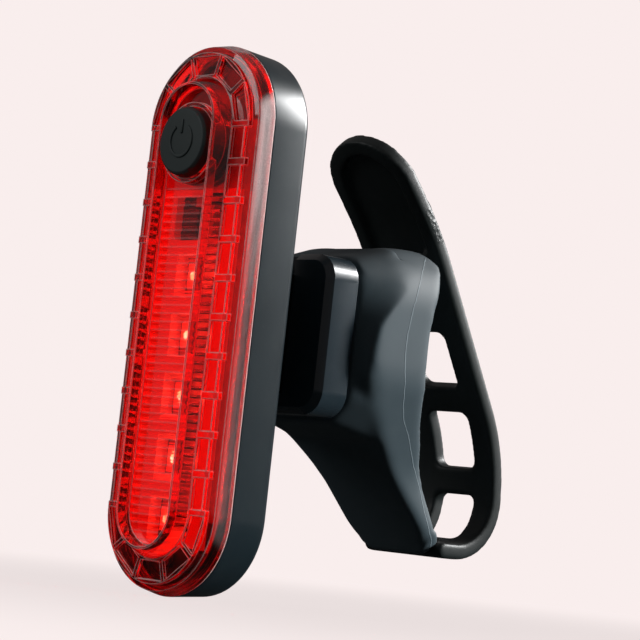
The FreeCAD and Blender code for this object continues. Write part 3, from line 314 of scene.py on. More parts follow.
class EdgeWearAndHighlight(Effect):
    """A mask that is 1 along outer edges: where a moulding is handled it marks real wear, and where edges
    catch the light it places a painted highlight.
    """

    name = "Edge wear and highlight"
    inputs = (("Width", 0.2), ("Breakup", 0.3))
    outputs = ("Mask",)

    def build(self, tree: Tree, values: dict) -> tuple[Plug, ...]:
        """Compares the true normal with a rounded one.

        Args:
            tree: The nodes of the group, or of a material that needs the mask itself.
            values: Width of the edges in millimetres, and how much they are broken up.

        Returns:
            The mask.
        """
        radius = tree.times(values["Width"], MM)
        soft = tree.node("Bevel", {"Radius": radius}, samples=6).outputs[0]
        true = tree.node("NewGeometry").outputs["Normal"]
        dot = tree.node("VectorMath", {0: soft, 1: true}, operation="DOT_PRODUCT").outputs["Value"]
        edge = tree.step(dot, 0.995, 0.8)
        gaps = tree.times(tree.step(tree.noise(tree.place(), 900.0, 3.0), 0.4, 0.65), values["Breakup"])
        return (tree.times(edge, tree.math("SUBTRACT", 1.0, gaps)),)


class Dust(Effect):
    """A mask of thin dust, thicker on faces that look up."""

    name = "Dust"
    inputs = (("Amount", 0.2),)
    outputs = ("Mask",)

    def build(self, tree: Tree, values: dict) -> tuple[Plug, ...]:
        """Specks and a thin film.

        Args:
            tree: The group's nodes.
            values: How much dust there is.

        Returns:
            The mask.
        """
        place = tree.place()
        film = tree.step(tree.noise(place, 260.0, 4.0, 0.6), 0.45, 0.75)
        specks = tree.step(tree.noise(place, 2600.0, 1.0), 0.7, 0.78)
        up = tree.axes(tree.node("NewGeometry").outputs["Normal"])["Z"]
        both = tree.math("MAXIMUM", tree.times(film, 0.6), specks)
        thick = tree.times(both, tree.step(up, -0.2, 1.0, 0.25, 1.0))
        return (tree.times(thick, values["Amount"], clamp=True),)


# Shapes, in millimetres

def rounded(corners: list[Point], segments: int = 6) -> Outline:
    """Rounds the corners of a closed outline.

    Args:
        corners: Corner points with their radius, as (u, v, radius).
        segments: Straight steps in each rounded corner.

    Returns:
        The outline's points.
    """
    points: Outline = []
    for i, (u, v, radius) in enumerate(corners):
        here = Vector((u, v))
        if radius == 0:
            points.append((u, v))
            continue
        before = (Vector(corners[i - 1][:2]) - here).normalized()
        after = (Vector(corners[(i + 1) % len(corners)][:2]) - here).normalized()
        turn = before.angle(after)
        middle = here + (before + after).normalized() * radius / math.sin(turn / 2)
        start = here + before * radius / math.tan(turn / 2) - middle
        swing = start.angle_signed(here + after * radius / math.tan(turn / 2) - middle)
        for step in range(segments + 1):
            bent = start.copy()
            bent.rotate(Matrix.Rotation(-swing * step / segments, 2))
            points.append(tuple(middle + bent))
    return points


def add_piece(name: str, shape: Shape, look: "Look | None" = None,
              smooth: float = 35.0) -> bpy.types.Object:
    """Turns a bmesh into a smooth-shaded object.

    Args:
        name: The piece's name.
        shape: Its mesh in metres, in place, which is freed.
        look: Its finish, or None.
        smooth: Edges sharper than this, in degrees, stay hard.

    Returns:
        The new object.
    """
    for edge in shape.edges:
        edge.smooth = edge.calc_face_angle(0.0) < math.radians(smooth)
    for face in shape.faces:
        face.smooth = True
    mesh = bpy.data.meshes.new(name)
    shape.to_mesh(mesh)
    shape.free()
    piece = bpy.data.objects.new(name, mesh)
    bpy.context.scene.collection.objects.link(piece)
    if look:
        mesh.materials.append(look.value.material())
    log.info("%s: %d faces", name, len(mesh.polygons))
    return piece


def finished(piece: bpy.types.Object) -> Shape:
    """Reads a piece's mesh with its modifiers in it, and removes the piece.

    Args:
        piece: The piece with its modifiers.

    Returns:
        The mesh that the modifiers give.
    """
    seen = piece.evaluated_get(bpy.context.evaluated_depsgraph_get())
    mesh = bpy.data.meshes.new_from_object(seen)
    shape = bmesh.new()
    shape.from_mesh(mesh)
    bpy.data.objects.remove(piece)
    bpy.data.meshes.remove(mesh)
    return shape


def smoothed(shape: Shape, rounds: int) -> None:
    """Smooths a whole shape.

    Args:
        shape: The shape.
        rounds: How often it is smoothed.
    """
    for _ in range(rounds):
        bmesh.ops.smooth_vert(shape, verts=shape.verts, factor=0.5, use_axis_x=True, use_axis_y=True,
                              use_axis_z=True)


def cad_copy(node: str) -> Shape:
    """Copies a CAD node's mesh, merged, with its flat faces whole.

    Args:
        node: The CAD node.

    Returns:
        The copy.
    """
    shape = bmesh.new()
    shape.from_mesh(frame["nodes"][node].data)
    bmesh.ops.remove_doubles(shape, verts=shape.verts, dist=1e-6)
    bmesh.ops.dissolve_limit(shape, angle_limit=math.radians(0.5), verts=shape.verts, edges=shape.edges)
    bmesh.ops.recalc_face_normals(shape, faces=shape.faces)
    return shape


def cad_skin(node: str, voxel: float, rounds: int) -> Shape:
    """A soft skin over a CAD node: an even mesh with its edges eased.

    Args:
        node: The CAD node.
        voxel: Size of the mesh's squares, in millimetres.
        rounds: How often it is smoothed.

    Returns:
        The skin.
    """
    shape = cad_copy(node)
    bmesh.ops.triangulate(shape, faces=shape.faces)
    piece = add_piece(node + "_raw", shape)
    voxels = piece.modifiers.new("voxels", "REMESH")
    voxels.mode = "VOXEL"
    voxels.voxel_size = voxel * MM
    skin = finished(piece)
    smoothed(skin, rounds)
    return skin


def sweep(profile: Outline, half_span: float, steps: int = 40) -> Shape:
    """Carries a closed outline round the light's stadium path.

    Args:
        profile: The outline as (distance from the path's middle line, y).
        half_span: Half the distance between the centres of the round ends.
        steps: Steps in each half turn.

    Returns:
        The closed shape.
    """
    shape = bmesh.new()
    half = half_span * MM
    rim = [shape.verts.new((radius * MM, y * MM, half)) for radius, y in profile]
    chain = [shape.edges.new((rim[i], rim[(i + 1) % len(rim)])) for i in range(len(rim))]
    for height in (half, -half):
        spun = bmesh.ops.spin(shape, geom=rim + chain, cent=(0, 0, height), axis=(0, -1, 0), angle=math.pi,
                              steps=steps)
        ends = [e for e in spun["geom_last"] if isinstance(e, bmesh.types.BMEdge)]
        run = bmesh.ops.extrude_edge_only(shape, edges=ends)["geom"]
        rim = [v for v in run if isinstance(v, bmesh.types.BMVert)]
        chain = [e for e in run if isinstance(e, bmesh.types.BMEdge) and all(v in rim for v in e.verts)]
        bmesh.ops.translate(shape, verts=rim, vec=(0, 0, -2 * height))
    bmesh.ops.remove_doubles(shape, verts=shape.verts, dist=2e-6)
    bmesh.ops.dissolve_degenerate(shape, edges=shape.edges, dist=2e-6)
    bmesh.ops.recalc_face_normals(shape, faces=shape.faces)
    return shape


def turned(profile: Outline, x: float, z: float, steps: int = 64) -> Shape:
    """Turns an outline of (radius, y) about an axis along Y.

    Args:
        profile: The outline, which starts and ends on the axis.
        x: The axis's place in x.
        z: The axis's place in z.
        steps: Steps in the whole turn.

    Returns:
        The closed shape.
    """
    shape = bmesh.new()
    rim = [shape.verts.new(((x + radius) * MM, y * MM, z * MM)) for radius, y in profile]
    chain = [shape.edges.new(pair) for pair in zip(rim, rim[1:])]
    bmesh.ops.spin(shape, geom=rim + chain, cent=(x * MM, 0, z * MM), axis=(0, 1, 0), angle=2 * math.pi,
                   steps=steps, use_merge=True)
    bmesh.ops.remove_doubles(shape, verts=shape.verts, dist=2e-6)
    bmesh.ops.recalc_face_normals(shape, faces=shape.faces)
    return shape


def ease(value: float, low: float, high: float) -> float:
    """Runs smoothly from 0 at low to 1 at high."""
    share = min(1.0, max(0.0, (value - low) / (high - low)))
    return share * share * (3.0 - 2.0 * share)


def soften(shape: Shape, rounds: int, weight: Callable[[Vector], float]) -> None:
    """Smooths a skin, with a share for each point.

    Args:
        shape: The skin.
        rounds: How often it is smoothed.
        weight: Gives a point's share, from 0 to 1, from its place in millimetres.
    """
    before = [v.co.copy() for v in shape.verts]
    smoothed(shape, rounds)
    for vert, start in zip(shape.verts, before):
        vert.co = start.lerp(vert.co, weight(start / MM))


def block(shape: Shape, low: Point, high: Point, edge: float = 0.0) -> None:
    """Adds a block with eased edges to a shape.

    Args:
        shape: The shape that it goes into.
        low: Its lowest corner in millimetres.
        high: Its highest corner in millimetres.
        edge: How much its edges are eased, in millimetres.
    """
    middle = [(a + b) / 2 * MM for a, b in zip(low, high)]
    size = [(b - a) * MM for a, b in zip(low, high)]
    place = Matrix.Translation(middle) @ Matrix.Diagonal((*size, 1.0))
    made = bmesh.ops.create_cube(shape, size=1.0, matrix=place)["verts"]
    if edge:
        edges = list({e for v in made for e in v.link_edges})
        bmesh.ops.bevel(shape, geom=edges, offset=edge * MM, segments=2, profile=0.5, affect="EDGES",
                        material=-1)


def carved(piece: bpy.types.Object, cutters: list[bpy.types.Object]) -> Shape:
    """Cuts pieces out of another one.

    Args:
        piece: The piece that is cut.
        cutters: What is cut out of it, which is removed.

    Returns:
        The cut shape.
    """
    for cutter in cutters:
        cut = piece.modifiers.new(cutter.name, "BOOLEAN")
        cut.operation = "DIFFERENCE"
        cut.solver = "EXACT"
        cut.object = cutter
    shape = finished(piece)
    for cutter in cutters:
        bpy.data.objects.remove(cutter)
    bmesh.ops.remove_doubles(shape, verts=shape.verts, dist=1e-7)
    return shape


# Finishes

@dataclass(frozen=True)
class Finish:
    """What every finish has: a name, a colour and a roughness."""

    name: str
    colour: Colour
    roughness: float = 0.4

    def material(self) -> bpy.types.Material:
        """Gives the material, and builds it on first use.

        Returns:
            The material.
        """
        known = bpy.data.materials.get(self.name)
        if known:
            return known
        made = bpy.data.materials.new(self.name)
        made.use_nodes = True
        made.node_tree.nodes.clear()
        tree = Tree(made.node_tree)
        tree.node("OutputMaterial", {"Surface": self.surface(tree)})
        return made

    def surface(self, tree: Tree) -> Plug:
        """Makes the shader and returns its socket."""
        raise NotImplementedError

    def shade(self, factor: float, lift: float = 0.0) -> Colour:
        """The colour times a factor plus a lift."""
        red, green, blue = (min(1.0, factor * c + lift) for c in self.colour[:3])
        return red, green, blue, 1.0


@dataclass(frozen=True)
class Moulding(Finish):
    """Plastic or silicone moulding: fine skin, edges lightened as wear and painted highlight, a little dust.
    """

    grain: float = 0.12
    bump: float = 0.01
    specular: float = 0.5
    edge_wear_and_highlight: float = 0.2
    dust: float = 0.04
    sheen: float = 0.0

    def pattern(self, tree: Tree, base: Plug, height: Plug) -> tuple[Plug, Plug]:
        """Lets a finish add its own marks to the colour and the height."""
        return base, height

    def surface(self, tree: Tree) -> Plug:
        """A Principled shader over the shared skin, edge and dust effects.

        Args:
            tree: The material's nodes.

        Returns:
            The shader's socket.
        """
        skin = tree.group(MouldedSkin().tree(), {"Grain Size": self.grain, "Cloud Size": 16.0})
        edge = tree.group(EdgeWearAndHighlight().tree(), {"Width": 0.2, "Breakup": 0.5}).outputs["Mask"]
        dust = tree.group(Dust().tree(), {"Amount": self.dust}).outputs["Mask"]
        base = tree.mix(tree.step(skin.outputs["Shade"], 0.3, 0.7), self.shade(0.93), self.shade(1.07, 0.001))
        # Lightens the edges: partly real wear, partly a painted highlight where edges catch the light.
        base = tree.mix(tree.times(edge, self.edge_wear_and_highlight), base, self.shade(1.8, 0.02))
        base = tree.mix(dust, base, srgb(190, 186, 178))
        base, height = self.pattern(tree, base, tree.times(skin.outputs["Height"], self.bump))
        gloss = tree.math("MULTIPLY_ADD", skin.outputs["Gloss"], 0.1, self.roughness - 0.05)
        rough = tree.math("ADD", gloss, tree.times(dust, 0.3), clamp=True)
        return tree.node("BsdfPrincipled", {
            "Base Color": base, "Roughness": rough, "Normal": tree.bump(height),
            "Specular IOR Level": self.specular, "Sheen Weight": self.sheen}).outputs[0]


@dataclass(frozen=True)
class SaddleSilicone(Moulding):
    """Silicone of the saddle, with the raised line where its mould parted."""

    line: tuple[tuple[float, float], ...] = (
        (-28.0, 12.2), (-22.3, 8.3), (-18.9, 6.7), (-15.6, 3.9), (-12.2, 0.9), (-8.9, -2.3), (-2.9, -4.7),
        (2.3, -4.8), (8.1, -3.2), (12.5, 0.7))
    width: float = 0.13
    front_y: float = -10.0
    depth: float = 25.0

    def curve(self, tree: Tree, z: Plug) -> Plug:
        """The line's y in millimetres at a height, from its points of (z, y).

        Args:
            tree: The material's nodes.
            z: Socket with the height in metres.

        Returns:
            The socket with y.
        """
        low, high = self.line[0][0], self.line[-1][0]
        share = tree.math("DIVIDE", tree.math("SUBTRACT", z, low * MM), (high - low) * MM)
        curve = tree.node("FloatCurve", {"Value": share})
        points = curve.mapping.curves[0].points
        marks = [((z - low) / (high - low), (y - self.front_y) / self.depth) for z, y in self.line]
        points[0].location, points[1].location = marks[0], marks[-1]
        for mark in marks[1:-1]:
            points.new(*mark)
        curve.mapping.update()
        return tree.math("MULTIPLY_ADD", curve.outputs[0], self.depth, self.front_y)

    def pattern(self, tree: Tree, base: Plug, height: Plug) -> tuple[Plug, Plug]:
        """A pale raised line down the middle of each side.

        Args:
            tree: The material's nodes.
            base: Colour without the line.
            height: Height without the line.

        Returns:
            Colour and height with it.
        """
        place = tree.place()
        axes = tree.axes(place)
        wander = tree.math("MULTIPLY_ADD", tree.noise(place, 700.0, 2.0), 0.3, -0.15)
        off = tree.math("SUBTRACT", tree.math("DIVIDE", axes["Y"], MM), self.curve(tree, axes["Z"]))
        away = tree.math("ABSOLUTE", tree.math("SUBTRACT", off, wander))
        side = tree.step(tree.math("ABSOLUTE", tree.facing()["X"]), 0.45, 0.6)
        mask = tree.times(tree.step(away, self.width, 0.4 * self.width), side)
        base = tree.mix(tree.times(mask, 0.8), base, self.shade(1.9, 0.05))
        return base, tree.math("MULTIPLY_ADD", mask, 0.05, height)


@dataclass(frozen=True)
class StrapSilicone(Moulding):
    """Silicone of the strap, with a fine knurl on its thumb ridge and flecks along its edges."""

    ridge: Point = (0.0, 4.6, 18.6)
    reach: float = 3.0

    def near_ridge(self, tree: Tree, place: Plug) -> Plug:
        """A mask round the thumb ridge, on its outer side.

        Args:
            tree: The material's nodes.
            place: Socket with the place.

        Returns:
            The mask.
        """
        middle = tuple(value * MM for value in self.ridge)
        off = tree.axes(tree.node("VectorMath", {0: place, 1: middle}, operation="SUBTRACT").outputs[0])
        flat = tree.node("CombineXYZ", {"X": 0.0, "Y": off["Y"], "Z": off["Z"]}).outputs[0]
        away = tree.node("VectorMath", {0: flat}, operation="LENGTH").outputs["Value"]
        return tree.times(tree.under(away, self.reach, 0.6), tree.step(tree.facing()["Y"], -0.3, 0.1))

    def pattern(self, tree: Tree, base: Plug, height: Plug) -> tuple[Plug, Plug]:
        """A knurl round the ridge and pale flecks where flash was trimmed.

        Args:
            tree: The material's nodes.
            base: Colour without the marks.
            height: Height without the marks.

        Returns:
            Colour and height with them.
        """
        place = tree.place()
        near = self.near_ridge(tree, place)
        cells = tree.node("TexVoronoi", {"Vector": place, "Scale": 1700.0}).outputs["Distance"]
        edge = tree.group(EdgeWearAndHighlight().tree(), {"Width": 0.3, "Breakup": 0.9}).outputs["Mask"]
        fleck = tree.times(edge, tree.step(tree.noise(place, 2300.0, 2.0), 0.56, 0.66))
        base = tree.mix(tree.times(fleck, 0.7), base, srgb(120, 132, 132))
        base = tree.mix(tree.times(near, 0.35), base, self.shade(1.6, 0.01))
        return base, tree.math("MULTIPLY_ADD", tree.times(cells, near), 0.12, height)


@dataclass(frozen=True)
class ClearRed(Finish):
    """Clear red lens plastic: tinted glass that lets light in, edges painted pale as highlights, and a
    frosted side wall with a painted sheen.
    """

    wall_x: float = 10.2
    wall_z: float = 35.5
    wall_y: float = -33.9
    recess_x: float = 4.7
    recess_y: float = -35.0
    recess_top: float = 17.8
    rib_pitch: float = 1.12
    refraction: float = 1.24
    edge_width: float = 0.28

    def side_wall(self, tree: Tree, axes: Axes) -> Plug:
        """A mask of the side wall, behind the castellated band.

        Args:
            tree: The material's nodes.
            axes: Sockets with the place.

        Returns:
            The mask.
        """
        across = tree.over(tree.math("ABSOLUTE", axes["X"]), self.wall_x, 0.6)
        beyond = tree.over(tree.math("ABSOLUTE", axes["Z"]), self.wall_z, 0.7)
        return tree.times(tree.math("MAXIMUM", across, beyond), tree.over(axes["Y"], self.wall_y, 0.3))

    def recess(self, tree: Tree, axes: Axes) -> Plug:
        """A mask of the ribbed recess.

        Args:
            tree: The material's nodes.
            axes: Sockets with the place.

        Returns:
            The mask.
        """
        within = tree.under(tree.math("ABSOLUTE", axes["X"]), self.recess_x, 0.3)
        front = tree.under(axes["Y"], self.recess_y, 0.3)
        return tree.times(tree.times(within, front), tree.under(axes["Z"], self.recess_top, 0.6))

    def frost_and_painted_sheen(self, tree: Tree, place: Plug, grain: Plug) -> Plug:
        """How white the side wall's frosting and painted sheen are: streaked, and fading downwards like a
        painted reflection that is brightest at the top.

        Args:
            tree: The material's nodes.
            place: Socket with the place.
            grain: Socket with the grain of the frosted wall.

        Returns:
            The frost's share.
        """
        # Painted sheen: lighter towards the top, as if the wall reflected a bright surround above it.
        fade = tree.step(tree.axes(place)["Z"], -0.002, 0.026, 0.14, 1.0)
        upright = tree.node("Mapping", {"Vector": place, "Scale": (1.0, 1.0, 0.08)}).outputs[0]
        streaks = tree.step(tree.noise(upright, 900.0), 0.3, 0.65, 0.6, 1.0)
        return tree.times(fade, tree.times(tree.step(grain, 0.3, 0.75, 0.6, 0.95), streaks))

    def surface(self, tree: Tree) -> Plug:
        """Glass for sight, tinted clear for shadows, and a pale line painted along each edge as a highlight.

        Args:
            tree: The material's nodes.

        Returns:
            The shader's socket.
        """
        place = tree.place()
        axes = tree.axes(place)
        side, ribbed = self.side_wall(tree, axes), self.recess(tree, axes)
        ribs = tree.math("SINE", tree.times(axes["Z"], 2 * math.pi / (self.rib_pitch * MM)))
        grain = tree.noise(place, 8000.0, 2.0, 0.7)
        waves = tree.times(tree.noise(place, 300.0, 2.0), 0.012)
        waves = tree.math("MULTIPLY_ADD", tree.times(ribs, ribbed), 0.016, waves)
        height = tree.math("MULTIPLY_ADD", tree.times(grain, side), 0.05, waves)
        soft = tree.node("Bevel", {"Radius": 0.12 * MM, "Normal": tree.bump(height)}, samples=6).outputs[0]
        cloud = tree.step(tree.noise(place, 160.0, 3.0), 0.3, 0.7)
        smear = tree.step(tree.noise(place, 1500.0, 3.0), 0.45, 0.75, self.roughness, self.roughness + 0.05)
        glass = tree.node("BsdfPrincipled", {
            "Base Color": tree.mix(cloud, self.colour, self.shade(1.0, 0.004)),
            "Roughness": tree.math("MULTIPLY_ADD", side, 0.2, smear), "Normal": soft,
            "IOR": self.refraction, "Transmission Weight": 1.0, "Coat Weight": 1.0, "Coat Roughness": 0.03})
        # The pale shader paints highlights: it is mixed in along the edges, on the rib crests and over the
        # side wall's sheen.
        pale = tree.node("BsdfPrincipled", {
            "Base Color": srgb(255, 232, 230), "Roughness": 0.22, "Normal": soft})
        # This mask mixes two shaders, so its nodes stand in the material and not in a group
        edge, = EdgeWearAndHighlight().build(tree, {"Width": self.edge_width, "Breakup": 0.4})
        # Painted highlight: the crests of the recess's ribs are mixed a little towards the pale shader.
        rib_crest_highlights = tree.times(tree.times(tree.step(ribs, 0.5, 1.0), ribbed), 0.14)
        frost_and_painted_sheen = tree.times(side, self.frost_and_painted_sheen(tree, place, grain))
        # Share of painted highlight: the edges, the side wall's frosting and sheen, and the rib crests.
        share = tree.math("MAXIMUM", tree.times(edge, 1.8, clamp=True), tree.math("MAXIMUM", frost_and_painted_sheen, rib_crest_highlights))
        seen = tree.node("MixShader", {0: share, 1: glass.outputs[0], 2: pale.outputs[0]})
        clear = tree.node("BsdfTransparent", {"Color": srgb(255, 90, 84)})
        shadow = tree.node("LightPath").outputs["Is Shadow Ray"]
        return tree.node("MixShader", {0: shadow, 1: seen.outputs[0], 2: clear.outputs[0]}).outputs[0]


@dataclass(frozen=True)
class Metal(Finish):
    """Plated or drawn metal with fine scratches and a thin tarnish."""

    def surface(self, tree: Tree) -> Plug:
        """A metallic Principled shader with fine scratches.

        Args:
            tree: The material's nodes.

        Returns:
            The shader's socket.
        """
        place = tree.place()
        stretched = tree.node("Mapping", {"Vector": place, "Scale": (1.0, 12.0, 1.0)}).outputs[0]
        scratch = tree.noise(stretched, 900.0, 4.0, 0.7)
        stain = tree.step(tree.noise(place, 500.0, 3.0), 0.4, 0.75)
        base = tree.mix(tree.times(stain, 0.5), self.colour, self.shade(0.6))
        rough = tree.step(scratch, 0.3, 0.7, self.roughness - 0.08, self.roughness + 0.12)
        normal = tree.bump(scratch, 0.01)
        return tree.node("BsdfPrincipled", {
            "Base Color": base, "Roughness": rough, "Metallic": 1.0, "Normal": normal}).outputs[0]


@dataclass(frozen=True)
class Board(Finish):
    """Circuit board with dark lacquer under the lamp tray, and white round it and behind the lamps."""

    field_x: float = 7.0
    field_low: float = 17.4
    field_high: float = 27.0
    lamp_x: float = 2.2

    def white(self, tree: Tree, place: Plug) -> Plug:
        """A mask of the white fields.

        Args:
            tree: The material's nodes.
            place: Socket with the place.

        Returns:
            The mask.
        """
        axes = tree.axes(place)
        x = tree.math("ABSOLUTE", axes["X"])
        beside, above = tree.over(x, self.field_x, 0.2), tree.over(axes["Z"], self.field_low, 0.2)
        behind = tree.under(x, self.lamp_x, 0.1)
        fields = tree.math("MAXIMUM", tree.math("MAXIMUM", beside, above), behind)
        return tree.times(fields, tree.under(tree.math("ABSOLUTE", axes["Z"]), self.field_high, 0.3))

    def surface(self, tree: Tree) -> Plug:
        """Lacquer whose shade shows tracks and small plated holes.

        Args:
            tree: The material's nodes.

        Returns:
            The shader's socket.
        """
        place = tree.place()
        cells = tree.node("TexVoronoi", {"Vector": place, "Scale": 420.0}, distance="MANHATTAN", feature="F1")
        track = tree.step(cells.outputs["Distance"], 0.42, 0.47)
        dots = tree.node("TexVoronoi", {"Vector": place, "Scale": 300.0}).outputs["Distance"]
        base = tree.mix(self.white(tree, place), self.colour, srgb(214, 212, 204))
        base = tree.mix(tree.times(track, 0.25), base, self.shade(1.6, 0.01))
        base = tree.mix(tree.step(dots, 0.16, 0.11), base, srgb(196, 170, 120))
        return tree.node("BsdfPrincipled", {
            "Base Color": base, "Roughness": self.roughness, "Normal": tree.bump(track, 0.03),
            "Coat Weight": 0.4}).outputs[0]


@dataclass(frozen=True)
class Lit(Finish):
    """Lamp resin that glows, unevenly; the white tray, which is no lamp, takes the same glow as painted
    light.
    """

    glow: float = 1.0
    light: Colour = srgb(255, 240, 190)
    dim_light: Colour = srgb(255, 214, 120)

    def surface(self, tree: Tree) -> Plug:
        """A pale Principled shader that gives off light.

        Args:
            tree: The material's nodes.

        Returns:
            The shader's socket.
        """
        grain = tree.noise(tree.place(), 1400.0, 2.0)
        light = tree.mix(tree.step(grain, 0.35, 0.65), self.light, self.dim_light)
        return tree.node("BsdfPrincipled", {
            "Base Color": self.colour, "Roughness": self.roughness, "Emission Color": light,
            "Emission Strength": self.glow}).outputs[0]


class Look(Enum):
    """The finishes of the tail light."""

    LENS = ClearRed("clear_red", srgb(255, 16, 14), 0.02)
    HOUSING = Moulding("blue_grey_plastic", srgb(27, 38, 43), 0.3, 0.1, 0.001, 0.28)
    # The socket's edges are lightened strongly, mostly as a painted highlight.
    SOCKET = Moulding("socket_plastic", srgb(36, 48, 55), 0.25, 0.1, 0.001, 0.5, 0.6)
    CLIP = Moulding("black_plastic", srgb(16, 18, 19), 0.35, 0.1, 0.002, 0.3)
    SADDLE = SaddleSilicone("grey_silicone", srgb(68, 80, 86), 0.6, 0.14, 0.004, 0.22, 0.1, 0.05)
    STRAP = StrapSilicone("black_silicone", srgb(36, 41, 41), 0.46, 0.2, 0.006, 0.25, 0.15, 0.05)
    BUTTON = Moulding("button_rubber", srgb(54, 63, 63), 0.5, 0.16, 0.006, 0.25, 0.25, 0.04)
    SEAL = Moulding("seal_rubber", srgb(16, 17, 17), 0.6, 0.15, 0.004, 0.2)
    WHITE = Moulding("white_moulding", srgb(236, 234, 228), 0.35, 0.2, 0.002, 0.5)
    CHIP = Moulding("chip_resin", srgb(24, 24, 26), 0.4, 0.1, 0.002, 0.5)
    SWITCH = Moulding("switch_body", srgb(40, 40, 42), 0.4, 0.1, 0.002, 0.5)
    NYLON = Moulding("nylon", srgb(205, 203, 196), 0.45, 0.2, 0.003, 0.5)
    FOAM = Moulding("foam", srgb(46, 46, 48), 0.85, 0.5, 0.06, 0.1)
    POUCH = Metal("foil_pouch", srgb(196, 198, 202), 0.35)
    STEEL = Metal("plated_steel", srgb(190, 190, 192), 0.3)
    NICKEL = Metal("nickel_strip", srgb(206, 202, 190), 0.25)
    BOARD = Board("board_lacquer", srgb(14, 36, 28), 0.3)
    # The tray is no lamp: its small glow is painted light.
    TRAY = Lit("tray_painted_glow", srgb(236, 234, 228), 0.35, 0.2)
    LAMP = Lit("lamp_package", srgb(245, 240, 220), 0.3, 0.4)
    GLOW = Lit("lamp_dome", srgb(255, 250, 235), 0.2, 150.0, srgb(120, 255, 215), srgb(160, 255, 170))


SLOT_LOOKS = {
    "lens": Look.LENS, "seal": Look.SEAL, "housing": Look.HOUSING, "board": Look.BOARD, "screw": Look.STEEL,
    "lamp": Look.LAMP, "reflector": Look.WHITE, "chip": Look.CHIP, "switch": Look.SWITCH,
    "plunger": Look.SWITCH, "button": Look.BUTTON, "cell": Look.POUCH, "foam": Look.FOAM, "tab": Look.NICKEL,
    "port": Look.STEEL, "tongue": Look.CHIP, "cover": Look.SEAL, "clip": Look.CLIP, "socket": Look.SOCKET,
    "pivot": Look.STEEL, "washer": Look.NYLON, "core": Look.NYLON, "saddle": Look.SADDLE, "strap": Look.STRAP,
}


def dress_cad_nodes() -> None:
    """Gives each CAD node the finish of its material slot."""
    for part in frame["record"]["subparts"]:
        node = frame["nodes"][part["node"]]
        node.data.materials.clear()
        node.data.materials.append(SLOT_LOOKS[part["material_slot"]].value.material())
        log.info("%s dressed as %s", part["node"], part["material_slot"])


def seat(piece: bpy.types.Object, like: str, replaced: bool = True) -> None:
    """Lets a piece move with a CAD node's body, and hides that node when the piece stands for it.

    Args:
        piece: The piece.
        like: The CAD node that it goes with.
        replaced: True if it stands for that node.
    """
    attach(piece, body_of(frame["nodes"][like])[0])
    if replaced:
        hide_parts(like)


# The light

@dataclass
class HousingShell:
    """Deep tray behind the lens, with an eased back edge, screw bosses, and the port's slot and recess."""

    half_span: float = 25.8
    rim_y: float = -31.5
    back_y: float = -24.6
    seat_y: float = -30.6
    rim_radius: float = 11.4
    back_radius: float = 11.0
    ledge_radius: float = 10.6
    cavity_radius: float = 9.5
    wall: float = 1.4
    back_round: float = 1.3
    port_z: float = -18.5
    port_y: float = -29.25
    port_slot: tuple[float, float] = (1.65, 4.1)
    cover_recess: tuple[float, float] = (1.9, 6.4)
    recess_x: float = -10.75
    port_edge: float = 0.25
    screw_z: float = 5.6
    screw_radius: float = 1.0
    boss_z: float = 32.2
    boss_size: float = 3.6
    boss_edge: float = 0.3
    bore_radius: float = 0.85
    bore_depth: float = 3.1
    bore_tip: float = 0.3
    board_back_y: float = -30.6

    def profile(self) -> Outline:
        """The wall's section, round the stadium path.

        Returns:
            The outline as (distance from the path's middle line, y).
        """
        floor_y = self.back_y - self.wall
        return rounded([
            (0, floor_y, 0),
            (self.cavity_radius, floor_y, 0.5),
            (self.cavity_radius, self.seat_y, 0),
            (self.ledge_radius, self.seat_y, 0),
            (self.ledge_radius, self.rim_y, 0.1),
            (self.rim_radius, self.rim_y, 0.14),
            (self.back_radius, self.back_y, self.back_round),
            (0, self.back_y, 0),
        ], 8)

    def port_cutter(self, name: str, half: tuple[float, float], inner_x: float) -> bpy.types.Object:
        """Makes one block that is cut out of the wall round the port.

        Args:
            name: The cutter's name.
            half: Half its size along y and z.
            inner_x: How far in it reaches.

        Returns:
            The cutter.
        """
        shape = bmesh.new()
        outer_x = -self.rim_radius - 1.6
        block(shape, (outer_x, self.port_y - half[0], self.port_z - half[1]),
              (inner_x, self.port_y + half[0], self.port_z + half[1]), self.port_edge)
        return add_piece(name, shape)

    def build(self) -> None:
        """Builds the shell and its bosses in place of the CAD node."""
        raw = add_piece("housing_raw", sweep(self.profile(), self.half_span))
        slot = self.port_cutter("port_slot", self.port_slot, 1.0 - self.cavity_radius)
        recess = self.port_cutter("cover_recess", self.cover_recess, self.recess_x)
        holes = [self.hole("screw_hole_%d" % i, z) for i, z in enumerate((self.screw_z, -self.screw_z))]
        shape = carved(raw, [slot, recess] + holes)
        for z in (self.boss_z, -self.boss_z):
            self.add_boss(shape, z)
        seat(add_piece("housing_shell", shape, Look.HOUSING), "housing")

    def hole(self, name: str, z: float) -> bpy.types.Object:
        """The hole of one clip screw.

        Args:
            name: The cutter's name.
            z: The hole's height.

        Returns:
            The cutter.
        """
        start, end, radius = self.back_y - self.wall - 1, self.back_y + 1, self.screw_radius
        return add_piece(name, turned([(0, start), (radius, start), (radius, end), (0, end)], 0, z, 40))

    def add_boss(self, shape: Shape, z: float) -> None:
        """Adds one hollow screw boss to the shell.

        Args:
            shape: The shell.
            z: The boss's height.
        """
        half = self.boss_size / 2
        raw = bmesh.new()
        front, radius, depth = self.board_back_y, self.bore_radius, self.board_back_y + self.bore_depth
        block(raw, (-half, front, z - half), (half, self.back_y - self.wall + 0.2, z + half), self.boss_edge)
        bore = add_piece("boss_bore", turned([(0, front - 1), (radius, front - 1), (radius, depth),
                                              (0, depth + self.bore_tip)], 0, z, 32))
        boss = carved(add_piece("boss_raw", raw), [bore])
        mesh = bpy.data.meshes.new("boss")
        boss.to_mesh(mesh)
        boss.free()
        shape.from_mesh(mesh)
        bpy.data.meshes.remove(mesh)


